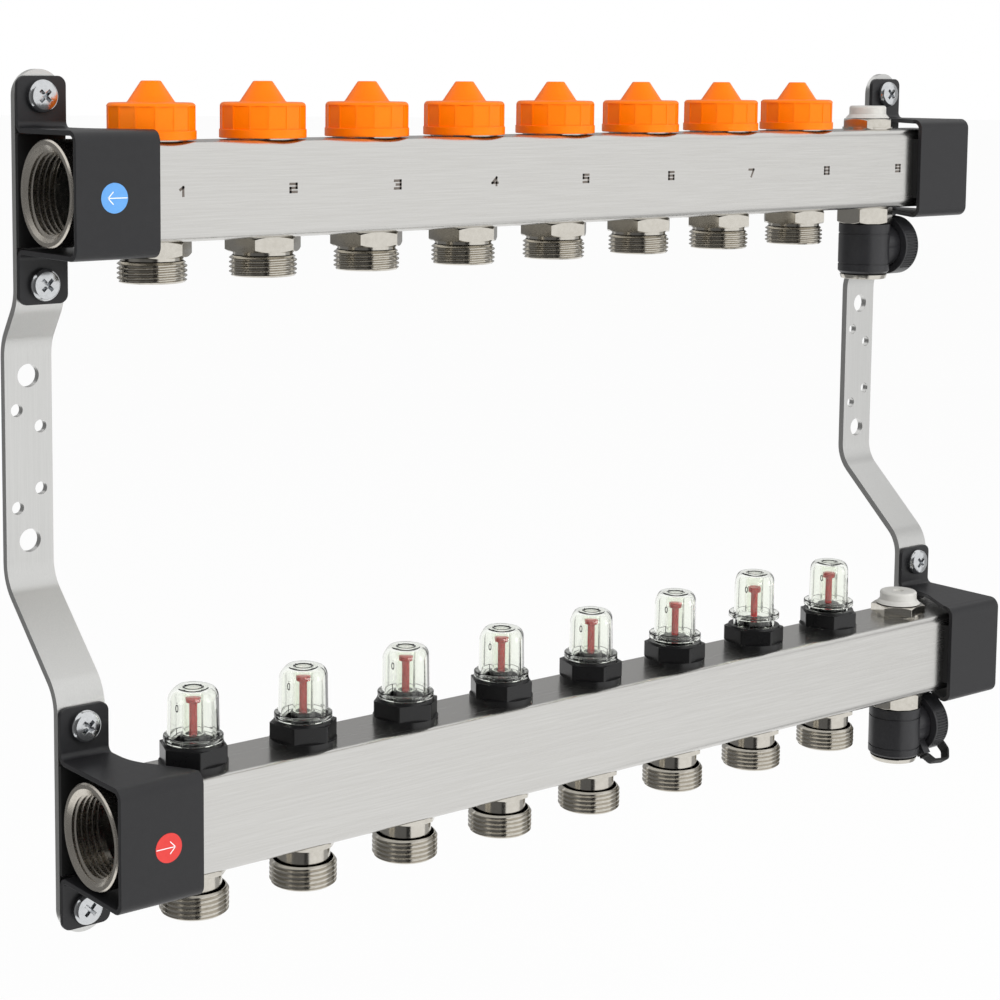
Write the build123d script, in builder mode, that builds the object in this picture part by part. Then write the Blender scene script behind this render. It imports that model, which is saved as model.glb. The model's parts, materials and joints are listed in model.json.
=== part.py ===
from build123d import *
import os

os.makedirs("parts", exist_ok=True)

# Wall-hung manifold of an underfloor heating system, in millimetres. Two steel beams lie one
# above the other on two bent wall bars: the return beam with shut-off valves above, and the
# supply beam with flow meters below. +X runs along the beams to the right, -Y faces the room
# and +Z is up. The origin lies on the wall, at the centre of the four wall screw holes.

# Ports along each beam: the circuits from the left, then one service port for vent and drain
port_pitch = 50.0
circuits = 8
left_margin = 44.3
right_margin = 48.3

# Beam tube
beam_depth = 35.0
beam_height = 37.0
beam_wall = 1.5
beam_corner_r = 4.0
end_plate_t = 2.0
port_bore_d = 20.6
spigot_play = 0.2

# End sleeve with a female G1 thread
sleeve_d = 39.6
sleeve_bore_d = 30.3
sleeve_length = 12.0
sleeve_mouth = 1.8
sleeve_edge = 0.6

# Wall bars of flat steel, cranked so that the lower beam stands further off the wall
bar_width = 20.0
bar_t = 3.0
bar_bend_r = 18.0
bar_overrun = 45.0
upper_setback = 11.0
lower_setback = 38.5
upper_rise = 102.5
lower_drop = 129.6
upper_crank_top = 61.5
upper_crank_foot = 44.7
lower_crank_top = -47.5
lower_crank_foot = -83.8
wall_hole_d = 9.0
wall_hole_z = 31.8
pilot_hole_d = 5.0
pilot_near_z = 12.0
pilot_far_z = 18.8
pilot_shift = 5.0

# Beam clamps, bent from sheet into a hat section
clamp_t = 2.0
clamp_bend_r = 4.5
plate_width = 35.0
ear_width = 20.5
ear_reach = 42.5
ear_corner_r = 3.5
flange_gap = 2.9
flare_back = 6.0
flare_front = 17.0
flare_back_r = 25.0
flare_front_r = 8.0

# Rubber pads that hold a beam in its clamp without metal contact, with a strip along the bar
front_pad_t = 2.5
back_pad_t = 5.7
pad_height = 28.0
pad_setback = 0.5
strip_t = 2.0
strip_play = 0.4

# Clamp screws, threaded into the wall bars
screw_d = 5.0
screw_hole_play = 0.4
screw_z = 35.0
screw_tip = 4.5
head_d = 12.5
head_h = 3.6
head_crown = 2.0
recess_length = 6.0
recess_width = 1.6
recess_depth = 1.8

# Threaded outlets for the circuit pipes, G3/4 outside thread
outlet_thread_d = 26.4
outlet_bore_d = 15.0
outlet_seat_d = 18.6
thread_chamfer = 0.8
seat_rise = 5.0
return_hex_af = 27.0
return_hex_h = 6.0
return_relief_d = 23.4
return_relief_h = 1.6
return_thread_h = 8.0
supply_hex_af = 24.0
supply_hex_h = 3.0
supply_neck_d = 21.2
supply_neck_h = 5.8
supply_thread_h = 9.6

# Valve inserts in the top of the return beam
insert_spigot = 6.0
insert_collar_d = 27.6
insert_collar_h = 2.6
insert_thread_d = 29.4
insert_thread_top = 11.0
running_gap = 0.3

# Valve spindle, which rises with the cap
spindle_d = 4.0
spindle_disc_d = 16.4
spindle_disc_t = 2.5

# Hand caps on the valve inserts, heights above the top of the beam
cap_wall = 1.6
cap_skirt_step = 0.3
cap_bottom = 0.6
cap_skirt_top = 4.0
cap_body_top = 14.3
cap_top = 22.4
cap_roof_t = 2.5
cap_pocket_d = 7.0
cap_pocket_h = 5.0
cap_cone_base_d = 18.0
cap_cone_tip_d = 7.1
cap_edge_r = 1.5
cap_tip_edge = 0.8
cap_panels = 14
cap_panel_width = 5.6
cap_panel_depth = 0.55
cap_panel_top = 12.9

# Flow meters in the top of the supply beam, heights above the top of the beam
meter_base_d = 26.4
meter_base_h = 2.5
meter_hex_af = 23.4
meter_hex_corner_d = 26.6
meter_hex_top = 8.8
meter_top_d = 22.8
meter_seat_h = 9.8
meter_bore_d = 19.0
meter_bore_floor = 3.0
meter_boss_d = 9.6
meter_boss_top = 12.5
meter_spigot = 5.0

# Direction of a corner of each meter's hexagon, from +X
meter_hex_turns = [9.0, -21.0, -19.0, 0.0, 13.0, 15.0, 19.0, -7.0]

# Clear dome of a flow meter, flattened on two sides for the fingers, with its inner gauge tube
dome_neck_d = 18.4
dome_neck_h = 6.6
dome_flange_d = 22.8
dome_flange_h = 2.4
dome_d = 21.6
dome_flats = 17.8
dome_turn = -49.0
dome_height = 20.6
dome_shoulder_r = 4.8
dome_wall = 1.7
dome_roof_t = 1.5
dome_dimple_d = 6.6
dome_dimple_depth = 0.4
gauge_d = 8.0
gauge_bore_d = 6.3

# How far each meter is screwed open, which lifts its dome off the nut
dome_lifts = [0.0, 0.0, 0.0, 0.0, 0.0, 1.0, 3.0, 1.5]

# Red indicator that the flow pulls down in the gauge tube
flag_d = 5.7
flag_h = 2.4
flag_bottom = 24.5
flag_stem_d = 3.0
flow_disc_d = 8.0
flow_disc_h = 2.0
flow_disc_drop = 1.0

# Air vents on the service ports, heights above the top of the beam
vent_flange_d = 23.5
vent_flange_h = 1.2
vent_hex_af = 22.0
vent_hex_top = 5.1
vent_neck_d = 10.0
vent_neck_top = 9.0
vent_spigot = 4.0
upper_vent_turn = -20.0
lower_vent_turn = 10.0
knob_base_d = 20.8
knob_d = 17.3
knob_skirt_h = 1.9
knob_top = 11.3
knob_edge = 1.2
knob_key_d = 5.0
knob_key_depth = 1.2

# Drain cocks under the service ports, depths below the beam
drain_hex_af = 24.0
drain_hex_h = 8.0
drain_spindle_d = 9.0
drain_body_d = 24.3
drain_body_h = 24.0
drain_body_edge = 1.4
drain_groove_w = 0.7
drain_groove_t = 0.4
drain_groove_top = 4.2
drain_groove_low = 18.8
drain_flange_d = 22.4
drain_flange_h = 2.1
drain_flange_taper = 0.7
drain_outlet_depth = 19.4
drain_outlet_d = 20.9
drain_outlet_reach = 20.4
drain_outlet_bore_d = 10.0

# Hose cap on the side outlet of a drain cock
hose_cap_d = 28.2
hose_cap_start = 14.2
hose_cap_t = 9.1
hose_cap_roof = 2.1
hose_cap_edge = 0.6
hose_cap_button_d = 6.4
hose_cap_button_h = 2.2

# Moulded straps that keep the hose caps from getting lost, each held by a lug on the drain body
strap_t = 1.2
strap_width = 5.0
strap_ring_d = 12.4
strap_bend_r = 1.6
strap_waist = 8.0
strap_belly_x = 27.2
strap_belly = 17.0
strap_low_x = 23.4
strap_low = 22.2
strap_heel_x = 15.0
strap_heel = 21.2
lug_foot = 7.0
lug_head = 16.5
lug_near_x = 9.2
lug_far_x = 13.4
strap_end_x = 10.3
lower_strap_turn = -35.0
upper_strap_turn = 90.0

# Turned corners of the hexagons
hex_rim = 0.1
hex_slope = 0.5

# Lengths and places worked out from the sizes above
service_port = circuits + 1
beam_length = left_margin + circuits * port_pitch + right_margin
left_end = -beam_length / 2
right_end = beam_length / 2
tube_start = left_end + sleeve_length
tube_length = right_end - tube_start
half_depth = beam_depth / 2
half_height = beam_height / 2
bar_face = half_depth + back_pad_t
upper_y = -(upper_setback + bar_t + bar_face)
lower_y = -(lower_setback + bar_t + bar_face)
upper_z = upper_rise
lower_z = -lower_drop
upper_top = upper_z + half_height
upper_bottom = upper_z - half_height
lower_top = lower_z + half_height
lower_bottom = lower_z - half_height
beam_centres = [(upper_y, upper_z), (lower_y, lower_z)]
spigot_d = port_bore_d - 2 * spigot_play
sides = [(-1, "left"), (1, "right")]


def port_x(port):
    """X of a port's axis, with the ports counted from 1 at the left."""
    return left_end + left_margin + (port - 1) * port_pitch


circuit_ports = [port_x(number) for number in range(1, circuits + 1)]
all_ports = circuit_ports + [port_x(service_port)]


def save(shape, name):
    """Label a finished piece and write it to its own STEP file."""
    shape.label = name
    export_step(shape, f"parts/{name}.step")


def shifted(points, distance):
    """Offset an open polyline to its left side, with mitred corners."""
    vectors = [Vector(*point) for point in points]
    runs = [(b - a).normalized() for a, b in zip(vectors, vectors[1:])]
    normals = [Vector(-run.Y, run.X) for run in runs]
    corners = [vectors[0] + normals[0] * distance]
    for vertex, before, after in zip(vectors[1:-1], normals, normals[1:]):
        mitre = (before + after) * (1 / (1 + before.dot(after)))
        corners.append(vertex + mitre * distance)
    corners.append(vectors[-1] + normals[-1] * distance)
    return corners


def sheet_section(points, inner_r, thickness):
    """Face of a bent sheet in the current sketch: its right-hand skin follows the points."""
    vectors = [Vector(*point) for point in points]
    turns = []
    for a, b, c in zip(vectors, vectors[1:], vectors[2:]):
        turns.append((b - a).cross(c - b).Z)
    near = [inner_r + thickness if turn > 0 else inner_r for turn in turns]
    far = [inner_r if turn > 0 else inner_r + thickness for turn in turns]
    other = shifted(points, thickness)
    with BuildLine() as outline:
        FilletPolyline(*vectors, radius=near)
        FilletPolyline(*other, radius=far)
        Line(vectors[0], other[0])
        Line(vectors[-1], other[-1])
    make_face(outline.edges())


def hexagon(across_flats, rotation=0):
    """Hexagon given by its size across the flats."""
    RegularPolygon(across_flats / 2, 6, major_radius=False, rotation=rotation)


def hex_nut(across_flats, low, high, rotation):
    """Hexagonal prism between two heights, with its corners turned off at both ends."""
    rim_r = across_flats / 2 + hex_rim
    far_r = across_flats * 0.6
    drop = (far_r - rim_r) * hex_slope
    with BuildPart() as prism:
        with BuildSketch(Plane.XY.offset(low)):
            hexagon(across_flats, rotation)
        extrude(amount=high - low)
        with BuildSketch(Plane.XZ):
            with BuildLine():
                Polyline(
                    (0, low),
                    (rim_r, low),
                    (far_r, low + drop),
                    (far_r, high - drop),
                    (rim_r, high),
                    (0, high),
                    close=True,
                )
            make_face()
        revolve(axis=Axis.Z, mode=Mode.INTERSECT)
    return prism.part


# Beams: closed rectangular tubes with an end plate at each end
def make_beam(name, centre):
    with BuildPart() as beam:
        with BuildSketch(Plane.YZ.offset(tube_start)):
            with Locations(centre):
                RectangleRounded(beam_depth, beam_height, beam_corner_r)
        extrude(amount=tube_length)
        with BuildSketch(Plane.YZ.offset(tube_start + end_plate_t)):
            with Locations(centre):
                RectangleRounded(
                    beam_depth - 2 * beam_wall,
                    beam_height - 2 * beam_wall,
                    beam_corner_r - beam_wall,
                )
        extrude(amount=tube_length - 2 * end_plate_t, mode=Mode.SUBTRACT)
        with BuildSketch(Plane.YZ.offset(tube_start)):
            with Locations(centre):
                Circle(sleeve_bore_d / 2)
        extrude(amount=end_plate_t, mode=Mode.SUBTRACT)
        y, z = centre
        with BuildSketch(Plane.XY.offset(z - half_height)):
            with Locations(*[(x, y) for x in all_ports]):
                Circle(port_bore_d / 2)
        extrude(amount=beam_height, mode=Mode.SUBTRACT)
    save(beam.part, name)


make_beam("upper_beam", (upper_y, upper_z))
make_beam("lower_beam", (lower_y, lower_z))

# End sleeves: round sockets welded on the left end plates
with BuildPart() as end_sleeves:
    for centre in beam_centres:
        with BuildSketch(Plane.YZ.offset(left_end)):
            with Locations(centre):
                Circle(sleeve_d / 2)
        extrude(amount=sleeve_length)
        with BuildSketch(Plane.YZ.offset(left_end)):
            with Locations(centre):
                Circle(sleeve_bore_d / 2)
        extrude(amount=sleeve_length, mode=Mode.SUBTRACT)
    mouth = end_sleeves.edges().filter_by(GeomType.CIRCLE).group_by(Axis.X)[0]
    chamfer(mouth.group_by(SortBy.RADIUS)[0], sleeve_mouth)
    rim = end_sleeves.edges().filter_by(GeomType.CIRCLE).group_by(Axis.X)[0]
    chamfer(rim.group_by(SortBy.RADIUS)[-1], sleeve_edge)
save(end_sleeves.part, "end_sleeves")


# Wall bars
def make_wall_bar(side, word):
    centre_x = side * (right_end - bar_width / 2)
    bar_top = upper_z + bar_overrun
    bar_foot = lower_z - bar_overrun
    back_line = [
        (-upper_setback, bar_top),
        (-upper_setback, upper_crank_top),
        (0, upper_crank_foot),
        (0, lower_crank_top),
        (-lower_setback, lower_crank_foot),
        (-lower_setback, bar_foot),
    ]
    with BuildPart() as bar:
        with BuildSketch(Plane.YZ.offset(centre_x - bar_width / 2)):
            sheet_section(back_line, bar_bend_r, -bar_t)
        extrude(amount=bar_width)
        fillet(bar.edges().filter_by(Axis.Y).group_by(Axis.Z)[-1], bar_width / 2 * 0.98)
        fillet(bar.edges().filter_by(Axis.Y).group_by(Axis.Z)[0], bar_width / 2 * 0.98)
        with BuildSketch(Plane.XZ):
            with Locations((centre_x, wall_hole_z), (centre_x, -wall_hole_z)):
                Circle(wall_hole_d / 2)
            with Locations(
                (centre_x - pilot_shift, pilot_far_z),
                (centre_x + pilot_shift, pilot_near_z),
                (centre_x + pilot_shift, -pilot_near_z),
                (centre_x - pilot_shift, -pilot_far_z),
            ):
                Circle(pilot_hole_d / 2)
            with Locations(*[(centre_x, z + s * screw_z) for _, z in beam_centres for s in (-1, 1)]):
                Circle((screw_d + screw_hole_play) / 2)
        extrude(amount=lower_setback + 2 * bar_t, mode=Mode.SUBTRACT)
    save(bar.part, f"{word}_wall_bar")


for side, word in sides:
    make_wall_bar(side, word)


# Clamps: hat sections whose flanges widen from the ears to the front plate
def make_clamp(side, name, centre):
    y, z = centre
    outer = side * right_end
    ear_back = y + bar_face
    plate_back = y - half_depth - front_pad_t
    flange_inside = half_height + flange_gap
    hat = [
        (ear_back, z + ear_reach),
        (ear_back, z + flange_inside),
        (plate_back, z + flange_inside),
        (plate_back, z - flange_inside),
        (ear_back, z - flange_inside),
        (ear_back, z - ear_reach),
    ]
    with BuildPart() as clamp:
        with BuildSketch(Plane.YZ.offset(outer if side < 0 else outer - plate_width)):
            sheet_section(hat, clamp_bend_r, -clamp_t)
        extrude(amount=plate_width)
        beyond = outer - side * (plate_width + 1)
        flare = [
            (outer - side * ear_width, ear_back),
            (outer - side * ear_width, y + flare_back),
            (outer - side * plate_width, y - flare_front),
            (outer - side * plate_width, plate_back - clamp_t),
        ]
        with BuildSketch(Plane.XY.offset(z - ear_reach)):
            with BuildLine():
                edge = FilletPolyline(*flare, radius=[flare_back_r, flare_front_r])
                Polyline(edge @ 1, (beyond, flare[-1][1]), (beyond, flare[0][1]), edge @ 0)
            make_face()
        extrude(amount=2 * ear_reach, mode=Mode.SUBTRACT)
        ear_tips = clamp.edges().filter_by(Axis.Y).group_by(Axis.Z)
        fillet(ear_tips[0] + ear_tips[-1], ear_corner_r)
        with BuildSketch(Plane.XZ.offset(-ear_back)):
            with Locations(*[(side * (right_end - bar_width / 2), z + s * screw_z) for s in (-1, 1)]):
                Circle((screw_d + screw_hole_play) / 2)
        extrude(amount=clamp_t, mode=Mode.SUBTRACT)
    save(clamp.part, name)


for side, word in sides:
    make_clamp(side, f"upper_{word}_clamp", (upper_y, upper_z))
    make_clamp(side, f"lower_{word}_clamp", (lower_y, lower_z))

# Rubber pads in front of and behind each beam, beside the end sleeve. The rear ones run on
# along the wall bar as a strip between the clamp's ears.
pad_length = plate_width - sleeve_length - pad_setback
pad_x = right_end - plate_width + pad_length / 2
strip_x = right_end - bar_width / 2
strip_height = 2 * (half_height + flange_gap - strip_play)
with BuildPart() as pads:
    for y, z in beam_centres:
        with Locations(*[(side * pad_x, y - half_depth, z) for side, _ in sides]):
            Box(pad_length, front_pad_t, pad_height, align=(Align.CENTER, Align.MAX, Align.CENTER))
        with Locations(*[(side * pad_x, y + half_depth, z) for side, _ in sides]):
            Box(pad_length, back_pad_t, pad_height, align=(Align.CENTER, Align.MIN, Align.CENTER))
        with Locations(*[(side * strip_x, y + bar_face, z) for side, _ in sides]):
            Box(bar_width, strip_t, strip_height, align=(Align.CENTER, Align.MAX, Align.CENTER))
save(pads.part, "rubber_pads")

# Clamp screws: pan heads on the ears, tips through the wall bars
with BuildPart() as screw:
    with BuildSketch(Plane.XZ):
        Circle(head_d / 2)
    extrude(amount=head_h)
    fillet(screw.edges().group_by(Axis.Y)[0], head_crown)
    with BuildSketch(Plane.XZ.offset(head_h)):
        Rectangle(recess_length, recess_width, rotation=45)
        Rectangle(recess_length, recess_width, rotation=-45)
    extrude(amount=-recess_depth, mode=Mode.SUBTRACT)
    with BuildSketch(Plane.XZ):
        Circle(screw_d / 2)
    extrude(amount=-(clamp_t + bar_t + screw_tip))
screw_places = [
    (side * (right_end - bar_width / 2), y + bar_face - clamp_t, z + up * screw_z)
    for y, z in beam_centres
    for side, _ in sides
    for up in (-1, 1)
]
with BuildPart() as clamp_screws:
    with Locations(*screw_places):
        add(screw.part)
save(clamp_screws.part, "clamp_screws")


# Outlets: a spigot in the beam, a hexagon, a neck and an outside thread, with a seat at the mouth
def make_outlets(name, y, face, hex_af, hex_h, neck_d, neck_h, thread_h):
    neck_top = face - hex_h
    thread_top = neck_top - neck_h
    mouth = thread_top - thread_h
    seat_top = face + beam_wall + seat_rise
    seat_depth = (outlet_seat_d - outlet_bore_d) / 2
    nut = hex_nut(hex_af, neck_top, face, 0)
    with BuildPart() as outlet:
        add(nut)
        with BuildSketch(Plane.XZ):
            with BuildLine():
                Polyline(
                    (outlet_bore_d / 2, seat_top),
                    (spigot_d / 2, seat_top),
                    (spigot_d / 2, neck_top),
                    (neck_d / 2, neck_top),
                    (neck_d / 2, thread_top),
                    (outlet_thread_d / 2 - thread_chamfer, thread_top),
                    (outlet_thread_d / 2, thread_top - thread_chamfer),
                    (outlet_thread_d / 2, mouth + thread_chamfer),
                    (outlet_thread_d / 2 - thread_chamfer, mouth),
                    (outlet_seat_d / 2, mouth),
                    (outlet_bore_d / 2, mouth + 2 * seat_depth),
                    close=True,
                )
            make_face()
        revolve(axis=Axis.Z)
        with BuildSketch(Plane.XY.offset(mouth)):
            Circle(outlet_bore_d / 2)
        extrude(amount=seat_top - mouth, mode=Mode.SUBTRACT)
    with BuildPart() as outlets:
        with Locations(*[(x, y, 0) for x in circuit_ports]):
            add(outlet.part)
    save(outlets.part, name)


make_outlets(
    "return_outlets", upper_y, upper_bottom,
    return_hex_af, return_hex_h, return_relief_d, return_relief_h, return_thread_h,
)
make_outlets(
    "supply_outlets", lower_y, lower_bottom,
    supply_hex_af, supply_hex_h, supply_neck_d, supply_neck_h, supply_thread_h,
)

# Valve inserts: spigot, collar and the thread that carries the cap
spindle_bore_d = spindle_d + 2 * running_gap
with BuildPart() as insert:
    with BuildSketch(Plane.XZ):
        with BuildLine():
            Polyline(
                (spindle_bore_d / 2, -beam_wall - insert_spigot),
                (spigot_d / 2, -beam_wall - insert_spigot),
                (spigot_d / 2, 0),
                (insert_collar_d / 2, 0),
                (insert_collar_d / 2, insert_collar_h),
                (insert_thread_d / 2, insert_collar_h + (insert_thread_d - insert_collar_d) / 2),
                (insert_thread_d / 2, insert_thread_top),
                (spindle_bore_d / 2, insert_thread_top),
                close=True,
            )
        make_face()
    revolve(axis=Axis.Z)
with BuildPart() as valve_inserts:
    with Locations(*[(x, upper_y, upper_top) for x in circuit_ports]):
        add(insert.part)
save(valve_inserts.part, "valve_inserts")

# Valve spindle: its disc closes on the outlet's seat and its head sits in the cap's pocket
cap_ceiling = cap_body_top - cap_roof_t
spindle_head = cap_ceiling + cap_pocket_h - running_gap
disc_bottom = running_gap - beam_height + beam_wall + seat_rise
with BuildPart() as spindle:
    with BuildSketch(Plane.XY.offset(disc_bottom)):
        Circle(spindle_disc_d / 2)
    extrude(amount=spindle_disc_t)
    with BuildSketch(Plane.XY.offset(disc_bottom + spindle_disc_t)):
        Circle(spindle_d / 2)
    extrude(amount=spindle_head - disc_bottom - spindle_disc_t)

# Hand cap: skirt, panelled body and a cone, bored out to turn on the insert
cap_bore_d = insert_thread_d + 2 * running_gap
cap_body_d = cap_bore_d + 2 * cap_wall
cap_skirt_d = cap_body_d + 2 * cap_skirt_step
with BuildPart() as cap:
    with BuildSketch(Plane.XZ):
        with BuildLine():
            Polyline(
                (cap_bore_d / 2, cap_bottom),
                (cap_skirt_d / 2, cap_bottom),
                (cap_skirt_d / 2, cap_skirt_top),
                (cap_body_d / 2, cap_skirt_top),
                (cap_body_d / 2, cap_body_top - cap_edge_r),
            )
            shoulder = RadiusArc(
                (cap_body_d / 2, cap_body_top - cap_edge_r),
                (cap_body_d / 2 - cap_edge_r, cap_body_top),
                -cap_edge_r,
            )
            Polyline(
                shoulder @ 1,
                (cap_cone_base_d / 2, cap_body_top),
                (cap_cone_tip_d / 2 + cap_tip_edge / 2, cap_top - cap_tip_edge),
                (cap_cone_tip_d / 2 - cap_tip_edge / 2, cap_top),
                (0, cap_top),
                (0, cap_ceiling + cap_pocket_h),
                (cap_pocket_d / 2, cap_ceiling + cap_pocket_h),
                (cap_pocket_d / 2, cap_ceiling),
                (cap_bore_d / 2, cap_ceiling),
                (cap_bore_d / 2, cap_bottom),
            )
        make_face()
    revolve(axis=Axis.Z)
    with BuildSketch(Plane.XY.offset(cap_skirt_top)):
        with PolarLocations(cap_body_d / 2 - cap_panel_depth, cap_panels):
            Rectangle(2, cap_panel_width, align=(Align.MIN, Align.CENTER))
    extrude(amount=cap_panel_top - cap_skirt_top, mode=Mode.SUBTRACT)

for number, x in enumerate(circuit_ports, start=1):
    place = Location((x, upper_y, upper_top))
    save(spindle.part.moved(place), f"valve_spindle_{number}")
    save(cap.part.moved(place), f"hand_cap_{number}")

# Meter nuts: base ring, hexagon with turned corners, and a boss that guides the indicator
flag_bore_d = flag_stem_d + 2 * running_gap


def make_meter_nut(hex_turn):
    with BuildPart() as nut:
        with BuildSketch():
            Circle(meter_base_d / 2)
        extrude(amount=meter_base_h)
        with BuildSketch(Plane.XY.offset(meter_base_h)):
            hexagon(meter_hex_af, rotation=hex_turn)
            Circle(meter_hex_corner_d / 2, mode=Mode.INTERSECT)
        extrude(amount=meter_hex_top - meter_base_h)
        with BuildSketch(Plane.XZ):
            with BuildLine():
                Polyline(
                    (0, meter_base_h),
                    (meter_hex_af / 2, meter_base_h),
                    (meter_hex_af / 2, meter_hex_top),
                    (meter_top_d / 2, meter_seat_h),
                    (0, meter_seat_h),
                    close=True,
                )
            make_face()
        revolve(axis=Axis.Z)
        with BuildSketch(Plane.XY.offset(meter_seat_h)):
            Circle(meter_bore_d / 2)
            Circle(meter_boss_d / 2, mode=Mode.SUBTRACT)
        extrude(amount=meter_bore_floor - meter_seat_h, mode=Mode.SUBTRACT)
        with BuildSketch(Plane.XY.offset(meter_bore_floor)):
            Circle(meter_boss_d / 2)
        extrude(amount=meter_boss_top - meter_bore_floor)
        with BuildSketch():
            Circle(spigot_d / 2)
        extrude(amount=-(beam_wall + meter_spigot))
        with BuildSketch(Plane.XY.offset(-beam_wall - meter_spigot)):
            Circle(flag_bore_d / 2)
        extrude(amount=beam_wall + meter_spigot + meter_boss_top, mode=Mode.SUBTRACT)
    return nut.part


with BuildPart() as meter_nuts:
    for x, hex_turn in zip(circuit_ports, meter_hex_turns):
        with Locations((x, lower_y, lower_top)):
            add(make_meter_nut(hex_turn))
save(meter_nuts.part, "meter_nuts")

# Clear dome: neck in the nut, flange, and a tall shell that is flattened on two sides
dome_r = dome_d / 2
dome_top_r = dome_r - dome_shoulder_r
dome_dimple_floor = dome_height - dome_dimple_depth
cavity_r = dome_flats / 2 - dome_wall
cavity_top = dome_height - dome_roof_t
vault_r = cavity_r - gauge_d / 2
gauge_foot = meter_boss_top - meter_seat_h
with BuildPart() as clear_dome:
    with BuildSketch(Plane.XZ):
        with BuildLine():
            Polyline(
                (cavity_r, -dome_neck_h),
                (dome_neck_d / 2, -dome_neck_h),
                (dome_neck_d / 2, 0),
                (dome_flange_d / 2, 0),
                (dome_flange_d / 2, dome_flange_h),
                (dome_r, dome_flange_h),
                (dome_r, dome_height - dome_shoulder_r),
            )
            RadiusArc(
                (dome_r, dome_height - dome_shoulder_r), (dome_top_r, dome_height), -dome_shoulder_r
            )
            Polyline(
                (dome_top_r, dome_height),
                (dome_dimple_d / 2, dome_height),
                (dome_dimple_d / 2, dome_dimple_floor),
                (0, dome_dimple_floor),
                (0, cavity_top),
                (gauge_bore_d / 2, cavity_top),
                (gauge_bore_d / 2, gauge_foot),
                (gauge_d / 2, gauge_foot),
                (gauge_d / 2, cavity_top),
            )
            RadiusArc((gauge_d / 2, cavity_top), (cavity_r, cavity_top - vault_r), vault_r)
            Line((cavity_r, cavity_top - vault_r), (cavity_r, -dome_neck_h))
        make_face()
    revolve(axis=Axis.Z)
    with BuildSketch(Plane.XY.offset(dome_flange_h).rotated((0, 0, dome_turn))):
        Circle(dome_d)
        Rectangle(dome_flats, 2 * dome_d, mode=Mode.SUBTRACT)
    extrude(amount=dome_height, mode=Mode.SUBTRACT)

# Indicator: flag, stem and the disc that the flow pulls down, heights above the beam
stem_foot = -beam_wall - meter_spigot - flow_disc_drop
with BuildPart() as indicator:
    with BuildSketch(Plane.XY.offset(flag_bottom)):
        Circle(flag_d / 2)
    extrude(amount=flag_h)
    with BuildSketch(Plane.XY.offset(stem_foot)):
        Circle(flag_stem_d / 2)
    extrude(amount=flag_bottom - stem_foot)
    with BuildSketch(Plane.XY.offset(stem_foot)):
        Circle(flow_disc_d / 2)
    extrude(amount=-flow_disc_h)

dome_seat = lower_top + meter_seat_h + running_gap
for number, (x, lift) in enumerate(zip(circuit_ports, dome_lifts), start=1):
    save(clear_dome.part.moved(Location((x, lower_y, dome_seat + lift))), f"meter_dome_{number}")
    save(indicator.part.moved(Location((x, lower_y, lower_top))), f"flow_indicator_{number}")

# Air vents: flanged hexagon bodies with a screwed knob that has a key slot
vent_nut = hex_nut(vent_hex_af, 0, vent_hex_top, 0)
with BuildPart() as vent:
    add(vent_nut)
    with BuildSketch():
        Circle(vent_flange_d / 2)
    extrude(amount=vent_flange_h)
    with BuildSketch(Plane.XY.offset(vent_hex_top)):
        Circle(vent_neck_d / 2)
    extrude(amount=vent_neck_top - vent_hex_top)
    with BuildSketch():
        Circle(spigot_d / 2)
    extrude(amount=-(beam_wall + vent_spigot))
service_x = port_x(service_port)
with BuildPart() as vent_bodies:
    with Locations(Location((service_x, upper_y, upper_top), (0, 0, upper_vent_turn))):
        add(vent.part)
    with Locations(Location((service_x, lower_y, lower_top), (0, 0, lower_vent_turn))):
        add(vent.part)
save(vent_bodies.part, "vent_bodies")

knob_bottom = vent_hex_top + running_gap
with BuildPart() as knob:
    with BuildSketch(Plane.XZ):
        with BuildLine():
            Polyline(
                (0, vent_neck_top + running_gap),
                (vent_neck_d / 2 + running_gap, vent_neck_top + running_gap),
                (vent_neck_d / 2 + running_gap, knob_bottom),
                (knob_base_d / 2, knob_bottom),
                (knob_d / 2, knob_bottom + knob_skirt_h),
                (knob_d / 2, knob_top),
                (0, knob_top),
                close=True,
            )
        make_face()
    revolve(axis=Axis.Z)
    fillet(knob.edges().group_by(Axis.Z)[-1], knob_edge)
    with BuildSketch(Plane.XY.offset(knob_top)):
        Circle(knob_key_d / 2)
    extrude(amount=-knob_key_depth, mode=Mode.SUBTRACT)
save(knob.part.moved(Location((service_x, upper_y, upper_top))), "upper_vent_knob")
save(knob.part.moved(Location((service_x, lower_y, lower_top))), "lower_vent_knob")

# Drain adaptors: hexagon under the beam, a spindle and the flange that carries the body
drain_body_top = drain_hex_h + running_gap
drain_body_foot = drain_body_top + drain_body_h
drain_flange_top = drain_body_foot + running_gap
drain_flange_foot = drain_flange_top + drain_flange_h
drain_nut = hex_nut(drain_hex_af, -drain_hex_h, 0, 30)
with BuildPart() as adaptor:
    add(drain_nut)
    with BuildSketch(Plane.XZ):
        with BuildLine():
            Polyline(
                (0, beam_wall),
                (spigot_d / 2, beam_wall),
                (spigot_d / 2, -drain_hex_h / 2),
                (drain_spindle_d / 2, -drain_hex_h / 2),
                (drain_spindle_d / 2, -drain_flange_top),
                (drain_flange_d / 2, -drain_flange_top),
                (drain_flange_d / 2 - drain_flange_taper, -drain_flange_foot),
                (0, -drain_flange_foot),
                close=True,
            )
        make_face()
    revolve(axis=Axis.Z)
with BuildPart() as drain_adaptors:
    with Locations((service_x, upper_y, upper_bottom), (service_x, lower_y, lower_bottom)):
        add(adaptor.part)
save(drain_adaptors.part, "drain_adaptors")

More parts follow.
